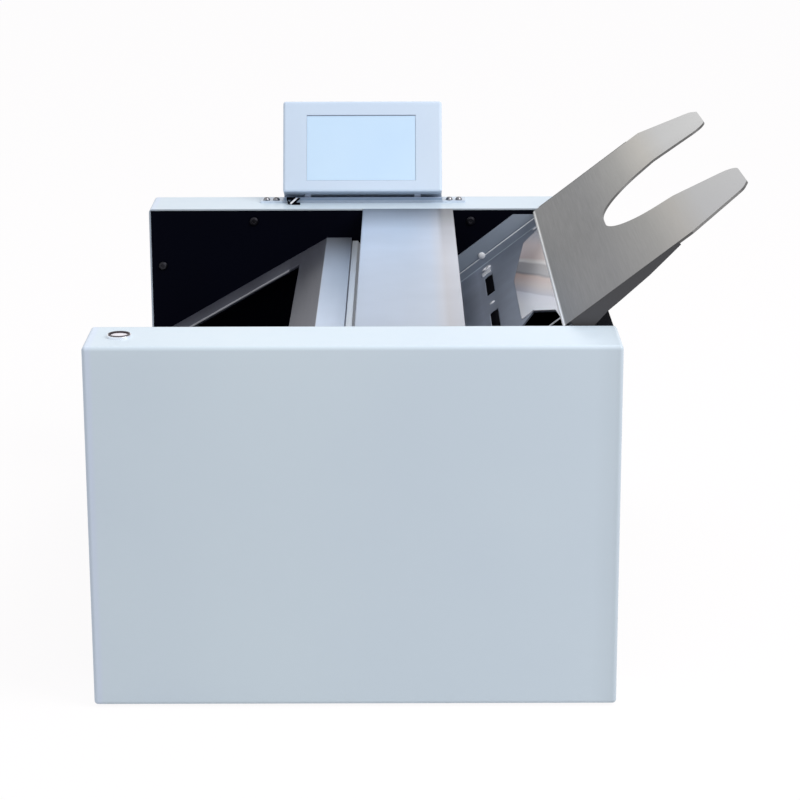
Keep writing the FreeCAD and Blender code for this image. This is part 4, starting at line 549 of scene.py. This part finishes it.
def glide_steel():
    """Polished glide plate: painted reflection in soft warm bands at the rear and lilac at the near end.
    """
    paint = Paint("glide_steel", 0.2, 0.3)
    place = bed_place(paint)
    slant = 3.4
    slanted = paint.node("ShaderNodeMath", operation="MULTIPLY_ADD")
    paint.feed(slanted, 0, place["X"])
    paint.feed(slanted, 1, slant)
    paint.feed(slanted, 2, place["Y"])
    waves = paint.noise(paint.stretched((3, 1, 3)), 9.0, 2.0)
    bent = paint.node("ShaderNodeMath", operation="ADD")
    paint.feed(bent, 0, paint.spread(slanted.outputs["Value"], 0.200, 0.685, 0.0, 1.0))
    paint.feed(bent, 1, paint.sway(waves, -0.012, 0.012))
    # Painted reflection: bands of warm and lilac tone across the polished plate.
    paint.colour(paint.ramp(bent.outputs["Value"], [
        (0.0, linear(255, 255, 255)), (0.28, linear(252, 251, 255)), (0.372, linear(236, 235, 248)),
        (0.382, linear(204, 203, 216)), (0.45, linear(218, 204, 202)), (0.515, linear(218, 192, 186)),
        (0.534, linear(138, 136, 142)), (0.548, linear(172, 170, 176)), (0.625, linear(180, 176, 178)),
        (0.642, linear(244, 240, 240)), (0.655, linear(238, 230, 228)), (0.675, linear(222, 202, 198)),
        (0.80, linear(242, 222, 217)), (0.90, linear(232, 226, 230)), (1.0, linear(226, 226, 232))]))
    paint.relief(waves, 0.03, 0.0003)
    return paint.material


def screen_face():
    """Pale lit touch screen with a glossy cover."""
    paint = Paint("screen_face", 0.22, Coat_Weight=0.4, Coat_Roughness=0.05, Emission_Strength=0.14)
    clouds = paint.noise(paint.stretched(), 9.0, 2.0)
    tone = paint.ramp(clouds, [(0.35, linear(196, 222, 247)), (0.65, linear(204, 228, 249))])
    paint.colour(tone)
    paint.feed(paint.shader, "Emission Color", tone)
    paint.relief(paint.noise(paint.stretched(), 500.0, 2.0), 0.02, 0.00002)
    return paint.material


MATERIALS = {
    "cover": powder_coat("cover_coat", linear(230, 244, 255), linear(225, 239, 252), shade=cover_painted_light_and_shade),
    "bracket": powder_coat("bracket_coat", linear(213, 224, 238), linear(208, 219, 233),
                           shade=bracket_painted_shade),
    "black": black_coat("black_coat", linear(4, 6, 18), linear(3, 4, 14)),
    "arm": black_coat("arm_coat", linear(84, 83, 85), linear(74, 74, 76)),
    "zinc": sheet_metal("zinc_sheet", linear(176, 185, 202), linear(156, 165, 182), 0.42,
                        LINES_ALONG_Y, 0.12, 0.5),
    "bed": bed_sheet(),
    "wall": wall_sheet(),
    "ring": ring_metal(),
    "hood": hood_sheet(),
    "guide": guide_sheet(),
    "top": top_sheet(),
    "tray": tray_steel(),
    "glide": glide_steel(),
    "steel": machined("ground_steel", linear(188, 190, 194), linear(140, 142, 148)),
    "alloy": machined("light_alloy", linear(206, 208, 212), linear(168, 170, 176), 0.38),
    "cap": moulded("button_cap", linear(255, 251, 255), linear(253, 247, 254), 0.3),
    # Painted glint: pale plastic white that stands for the bright glints of small metal parts.
    "painted_glint": moulded("painted_glint_white", linear(246, 247, 251), linear(236, 238, 244), 0.25),
    # Painted shade: dark plastic for the shadow in the button ring's recess.
    "shade_collar": moulded("button_shade_collar", linear(96, 88, 92), linear(84, 76, 80), 0.5),
    "dull_screw": machined("dull_screw", linear(150, 150, 154), linear(100, 100, 106), 0.25),
    "dark_screw": machined("black_screw", linear(62, 62, 68), linear(34, 34, 38), 0.35),
    "rubber": rubber("black_rubber", linear(24, 24, 26), linear(48, 48, 50)),
    "deep_rubber": rubber("feed_rubber", linear(4, 4, 8), linear(8, 8, 13), 0.01),
    "plastic": moulded("black_plastic", linear(32, 32, 35), linear(24, 24, 27)),
    "motor": moulded("motor_case", linear(44, 44, 48), linear(34, 34, 38), 0.4),
    "housing": moulded("housing_plastic", linear(219, 234, 252), linear(214, 230, 250), 0.4, 1200.0,
                       housing_painted_shade),
    "screen": screen_face(),
    "board": moulded("board_lacquer", linear(30, 92, 58), linear(22, 76, 48), 0.3),
    "brass": machined("brass_contact", linear(214, 182, 112), linear(182, 150, 84), 0.25),
    # Painted shade: grey for the shadow in the corner of the screen's recess.
    "recess_shade": moulded("grey_recess_shade", linear(128, 140, 164), linear(118, 130, 154)),
}

LOOK_OF_NODE = {
    "cover": ["front_cover", "rear_cover"],
    "black": ["front_frame_plate", "rear_frame_plate", "right_end_plate", "left_end_plate"],
    "arm": ["front_tray_arm", "rear_tray_arm"],
    "zinc": ["base_plate", "lower_bed", "stop_brackets", "power_supply"],
    "bed": ["upper_bed"],
    "wall": ["front_bed_wall", "rear_bed_wall"],
    "bracket": ["panel_bracket"],
    "hood": ["exit_hood"],
    "guide": ["exit_guide"],
    "top": ["top_plate"],
    "tray": ["infeed_tray"],
    "glide": ["glide_plate"],
    "ring": ["button_housing"],
    "cap": ["start_button"],
    "steel": ["tie_bars", "panel_hinge_pin", "upper_gear_pulley", "lower_gear_pulley", "shaft_bearings",
              "knife_blade", "knife_rails", "knife_racks", "knife_shaft", "stop_rods"],
    "alloy": ["arm_spacers", "feed_pulley", "fold_motor_pulley", "knife_motor_pulley", "knife_pulley",
              "knife_beam", "stop_bar", "stop_motor_pulley", "stop_idler_pulley"],
    "dull_screw": ["bracket_screws"],
    "dark_screw": ["frame_screws"],
    "rubber": ["rubber_feet", "upper_fold_roller", "lower_fold_roller", "drive_belts", "stop_belt"],
    "deep_rubber": ["feed_roller"],
    "plastic": ["power_inlet", "switch_frame", "power_rocker", "stop_blocks"],
    "motor": ["belt_motors", "stop_motor"],
    "housing": ["panel_housing"],
    "screen": ["touch_screen"],
    "board": ["control_board"],
    "brass": ["inlet_contacts"],
}


def dress(item, look):
    """Give an object one material."""
    item.data.materials.clear()
    item.data.materials.append(MATERIALS[look])


for look, names in LOOK_OF_NODE.items():
    for name in names:
        dress(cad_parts[name], look)


# Small pieces

def add_piece(name, shape, look, body, bevel=0.0, smooth=False):
    """Turn a mesh under construction into a piece that rides on a body."""
    mesh = bpy.data.meshes.new(name)
    shape.to_mesh(mesh)
    shape.free()
    item = bpy.data.objects.new(name, mesh)
    bpy.context.scene.collection.objects.link(item)
    if bevel:
        rounder = item.modifiers.new("Round", "BEVEL")
        rounder.width = bevel
        rounder.segments = 3
        rounder.limit_method = "ANGLE"
    for face in mesh.polygons:
        face.use_smooth = smooth
    dress(item, look)
    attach(item, body)
    return item


def frame_matrix(origin, x_axis, z_axis):
    """Place and turn that carries the local X and Z axes to the given directions."""
    y_axis = z_axis.cross(x_axis)
    turn = Matrix((x_axis, y_axis, z_axis)).transposed().to_4x4()
    return Matrix.Translation(origin) @ turn


def on_bed(along, across, rise):
    """Place on the sloping bed, with X up the slope and Z off its surface."""
    origin = BED_ZERO + UP_THE_BED * along + Vector((0, across, 0)) + OFF_THE_BED * rise
    return frame_matrix(origin, UP_THE_BED, OFF_THE_BED)


def box_into(shape, size, matrix):
    """Add a box of the given size about a place."""
    made = bmesh.ops.create_cube(shape, size=1.0)
    scale = Matrix.Diagonal((*size, 1.0))
    bmesh.ops.transform(shape, matrix=matrix @ scale, verts=made["verts"])


def circle_into(shape, radius, level, matrix, sides):
    """Add a circle of points at a height above a place."""
    points = []
    for k in range(sides):
        angle = 2 * math.pi * k / sides
        point = Vector((radius * math.cos(angle), radius * math.sin(angle), level))
        points.append(shape.verts.new(matrix @ point))
    return points


def join_circles(shape, first, second):
    """Add the faces between two circles with as many points each."""
    sides = len(first)
    for k in range(sides):
        after = (k + 1) % sides
        shape.faces.new((first[k], first[after], second[after], second[k]))


def ring_into(shape, inner, outer, height, matrix, sides=32):
    """Add a flat ring that stands on a place."""
    corners = ((inner, 0.0), (outer, 0.0), (outer, height), (inner, height))
    circles = [circle_into(shape, radius, level, matrix, sides) for radius, level in corners]
    for first, second in zip(circles, circles[1:] + circles[:1]):
        join_circles(shape, first, second)


def dome_into(shape, radius, height, matrix, sides=24, steps=5):
    """Add a low dome that stands on a place."""
    circles = []
    for step in range(steps):
        angle = math.pi / 2 * step / steps
        level = height * math.sin(angle)
        circles.append(circle_into(shape, radius * math.cos(angle), level, matrix, sides))
    top = shape.verts.new(matrix @ Vector((0, 0, height)))
    for first, second in zip(circles, circles[1:]):
        join_circles(shape, first, second)
    for k in range(sides):
        shape.faces.new((circles[-1][k], circles[-1][(k + 1) % sides], top))
    shape.faces.new(list(reversed(circles[0])))


def rounded_head(name, places, radius, height, look, body):
    """Domed heads of small rivets or screws."""
    shape = bmesh.new()
    for matrix in places:
        dome_into(shape, radius, height, matrix)
    return add_piece(name, shape, look, body, smooth=True)


def screen_recess_shade():
    """Thin grey line round the touch screen, in the corner of its recess: painted shade of the recess,
    widest along the top.
    """
    shape = bmesh.new()
    top_wide = 0.0007
    wide = 0.00014
    deep = 0.0004
    tall = SCREEN_TOP - SCREEN_FOOT
    centre_up = (SCREEN_FOOT + SCREEN_TOP) / 2
    side = SCREEN_HALF - wide / 2
    face_up = Vector((0, math.sin(PANEL_TILT), math.cos(PANEL_TILT)))
    outward = Vector((0, -math.cos(PANEL_TILT), math.sin(PANEL_TILT)))
    bars = [((SCREEN_MIDDLE, SCREEN_TOP - top_wide / 2), (SCREEN_HALF * 2, top_wide)),
            ((SCREEN_MIDDLE, SCREEN_FOOT + wide / 2), (SCREEN_HALF * 2, wide)),
            ((SCREEN_MIDDLE - side, centre_up), (wide, tall)),
            ((SCREEN_MIDDLE + side, centre_up), (wide, tall))]
    for (x, up), (width, height) in bars:
        centre = PANEL_FOOT + Vector((x, 0, 0)) + face_up * up - outward * (deep / 2)
        box_into(shape, (width, height, deep), frame_matrix(centre, Vector((1, 0, 0)), outward))
    return add_piece("screen_recess_shade", shape, "recess_shade", "panel")


def bed_clip():
    """Ring and plate on the bed near its rear slot, bright white as a painted glint."""
    shape = bmesh.new()
    inner, outer, thick = 0.0024, 0.0048, 0.0014
    ring_into(shape, inner, outer, thick, on_bed(0.0744, 0.2030, 0.0))
    plate = (0.0095, 0.0120, 0.0010)
    box_into(shape, plate, on_bed(0.0736, 0.1870, 0.0006))
    add_piece("bed_clip", shape, "painted_glint", "machine", 0.0003)


def bed_rivets():
    """Rivets between the slots of the bed and at its rear upper corner, white as painted glints."""
    places = ((0.0745, 0.0665), (0.0745, -0.0685), (0.1318, 0.2210))
    radius, height = 0.0030, 0.0009
    spots = [on_bed(along, across, 0.0) for along, across in places]
    rounded_head("bed_rivets", spots, radius, height, "painted_glint", "machine")


def hatch_rib():
    """Bright bar inside the hatch of the bed, white as a painted highlight."""
    shape = bmesh.new()
    size = (0.0150, 0.0018, 0.0010)
    box_into(shape, size, on_bed(0.1262, -0.1290, -0.0022))
    add_piece("hatch_rib", shape, "painted_glint", "machine", 0.0002)


def button_shade_collar():
    """Dark collar round the cap of the start button, a painted shade of the ring's recess."""
    shape = bmesh.new()
    x, y, _ = BUTTON_CENTRE
    inner, outer, thick, lift = 0.00745, 0.00820, 0.0007, 0.0020
    ring_into(shape, inner, outer, thick, Matrix.Translation((x, y, BODY_TOP + lift)), 48)
    add_piece("button_shade_collar", shape, "shade_collar", "machine")


def wall_screws():
    """Screws at the seam of the rail beside the bed, both sides alike, white as painted glints."""
    shape = bmesh.new()
    rail_face = SIDE_GAP_HALF - 0.0035
    seam_rise = 0.0085
    radius, height = 0.0034, 0.0016
    for side in (-1, 1):
        inward = Vector((0, -side, 0))
        seam = BED_ZERO + OFF_THE_BED * seam_rise - inward * rail_face
        for along in (0.0758, 0.0280):
            origin = seam + UP_THE_BED * along
            dome_into(shape, radius, height, frame_matrix(origin, UP_THE_BED, inward))
    add_piece("wall_screws", shape, "painted_glint", "machine", smooth=True)


def leaning_bar(shape, start, stop, width, lift):
    """Add a thin bar to the catch, between two places given along X and up its leaning face."""
    foot = Vector((0.0, 0.2502, BODY_TOP + 0.0003))
    rising = Vector((0, 0.9, 0.436)).normalized()
    outward = Vector((1, 0, 0)).cross(rising)
    thick = 0.0007
    first, last = (foot + Vector((x, 0, 0)) + rising * up for x, up in (start, stop))
    middle = (first + last) / 2 + outward * lift
    length = (last - first).length
    box_into(shape, (length, width, thick), frame_matrix(middle, (last - first).normalized(), outward))


def panel_catch():
    """Small black catch under the lower left corner of the touch panel."""
    shape = bmesh.new()
    bars = (((-0.0719, 0.0088), (-0.0637, 0.0088), 0.0034),
            ((-0.0713, 0.0080), (-0.0697, 0.0004), 0.0011),
            ((-0.0640, 0.0092), (-0.0698, 0.0004), 0.0023),
            ((-0.0600, 0.0096), (-0.0656, 0.0006), 0.0022),
            ((-0.0668, 0.0008), (-0.0589, 0.0008), 0.0028))
    for start, stop, width in bars:
        leaning_bar(shape, start, stop, width, 0.0004)
    add_piece("panel_catch", shape, "deep_rubber", "machine", 0.0001)


def panel_catch_highlight():
    """Painted highlight: a white bar along the black catch."""
    shape = bmesh.new()
    leaning_bar(shape, (-0.0623, 0.0092), (-0.0680, 0.0002), 0.0019, 0.0007)
    add_piece("panel_catch_highlight", shape, "painted_glint", "machine", 0.0001)


screen_recess_shade()
bed_clip()
bed_rivets()
hatch_rib()
button_shade_collar()
wall_screws()
panel_catch()
panel_catch_highlight()


# Floor, light and camera

def straight_ray(nodes, links):
    """One where a ray comes from the camera, a reflection or clear plastic, and zero elsewhere."""
    seen = nodes.new("ShaderNodeLightPath")
    either = nodes.new("ShaderNodeMath")
    either.operation = "MAXIMUM"
    links.new(seen.outputs["Is Camera Ray"], either.inputs[0])
    links.new(seen.outputs["Is Glossy Ray"], either.inputs[1])
    any_ray = nodes.new("ShaderNodeMath")
    any_ray.operation = "MAXIMUM"
    links.new(either.outputs["Value"], any_ray.inputs[0])
    links.new(seen.outputs["Is Transmission Ray"], any_ray.inputs[1])
    return any_ray.outputs["Value"]


def make_floor():
    """Wide pale floor that looks white to the camera and keeps a soft shadow."""
    shape = bmesh.new()
    bmesh.ops.create_grid(shape, x_segments=1, y_segments=1, size=FLOOR_HALF)
    mesh = bpy.data.meshes.new("floor")
    shape.to_mesh(mesh)
    shape.free()
    floor = bpy.data.objects.new("floor", mesh)
    bpy.context.scene.collection.objects.link(floor)
    material = bpy.data.materials.new("floor_white")
    material.use_nodes = True
    nodes, links = material.node_tree.nodes, material.node_tree.links
    nodes.clear()
    share = nodes.new("ShaderNodeMath")
    share.operation = "MULTIPLY"
    share.inputs[1].default_value = FLOOR_GLOW_SHARE
    links.new(straight_ray(nodes, links), share.inputs[0])
    matte = nodes.new("ShaderNodeBsdfDiffuse")
    grain = nodes.new("ShaderNodeTexNoise")
    grain.inputs["Scale"].default_value = 3.0
    tone = nodes.new("ShaderNodeValToRGB")
    tone.color_ramp.elements[0].color = (0.62, 0.61, 0.61, 1)
    tone.color_ramp.elements[1].color = (0.64, 0.63, 0.63, 1)
    links.new(grain.outputs["Fac"], tone.inputs["Fac"])
    links.new(tone.outputs["Color"], matte.inputs["Color"])
    glow = nodes.new("ShaderNodeEmission")
    glow.inputs["Color"].default_value = (1.0, 0.99, 0.995, 1)
    glow.inputs["Strength"].default_value = FLOOR_GLOW
    blend = nodes.new("ShaderNodeMixShader")
    links.new(share.outputs["Value"], blend.inputs[0])
    links.new(matte.outputs["BSDF"], blend.inputs[1])
    links.new(glow.outputs["Emission"], blend.inputs[2])
    end = nodes.new("ShaderNodeOutputMaterial")
    links.new(blend.outputs["Shader"], end.inputs["Surface"])
    mesh.materials.append(material)


def make_world():
    """Even soft surroundings that look white to the camera and in reflections."""
    world = bpy.data.worlds.new("studio")
    bpy.context.scene.world = world
    world.use_nodes = True
    nodes, links = world.node_tree.nodes, world.node_tree.links
    nodes.clear()
    soft = nodes.new("ShaderNodeBackground")
    soft.inputs["Color"].default_value = (0.97, 0.985, 1.0, 1)
    soft.inputs["Strength"].default_value = SOFT_LIGHT
    white = nodes.new("ShaderNodeBackground")
    white.inputs["Color"].default_value = WHITE
    white.inputs["Strength"].default_value = 1.0
    blend = nodes.new("ShaderNodeMixShader")
    links.new(straight_ray(nodes, links), blend.inputs[0])
    links.new(soft.outputs["Background"], blend.inputs[1])
    links.new(white.outputs["Background"], blend.inputs[2])
    end = nodes.new("ShaderNodeOutputWorld")
    links.new(blend.outputs["Shader"], end.inputs["Surface"])


def soft_box(name, place, target, width, power):
    """Square lamp that points at a target."""
    lamp = bpy.data.lights.new(name, "AREA")
    lamp.shape = "SQUARE"
    lamp.size = width
    lamp.energy = power
    item = bpy.data.objects.new(name, lamp)
    item.location = place
    item.rotation_euler = (Vector(target) - Vector(place)).to_track_quat("-Z", "Y").to_euler()
    bpy.context.scene.collection.objects.link(item)


def make_camera():
    """Camera that sees the machine as the photograph does."""
    pitch = math.radians(CAMERA_PITCH)
    yaw = math.radians(CAMERA_YAW)
    roll = math.radians(CAMERA_ROLL)
    ahead = Vector((math.sin(yaw) * math.cos(pitch), math.cos(yaw) * math.cos(pitch), -math.sin(pitch)))
    right = Vector((math.cos(yaw), -math.sin(yaw), 0.0))
    down = ahead.cross(right)
    across = right * math.cos(roll) + down * math.sin(roll)
    below = down * math.cos(roll) - right * math.sin(roll)
    data = bpy.data.cameras.new("camera")
    data.lens = CAMERA_LENS
    data.sensor_width = CAMERA_SENSOR
    camera = bpy.data.objects.new("camera", data)
    turn = Matrix((across, -below, -ahead)).transposed().to_4x4()
    camera.matrix_world = Matrix.Translation(CAMERA_PLACE) @ turn
    bpy.context.scene.collection.objects.link(camera)
    bpy.context.scene.camera = camera


make_floor()
make_world()
soft_box("key_lamp", KEY_LAMP_PLACE, KEY_LAMP_TARGET, KEY_LAMP_WIDTH, KEY_LAMP_POWER)
make_camera()
bpy.context.scene.view_settings.view_transform = "Standard"
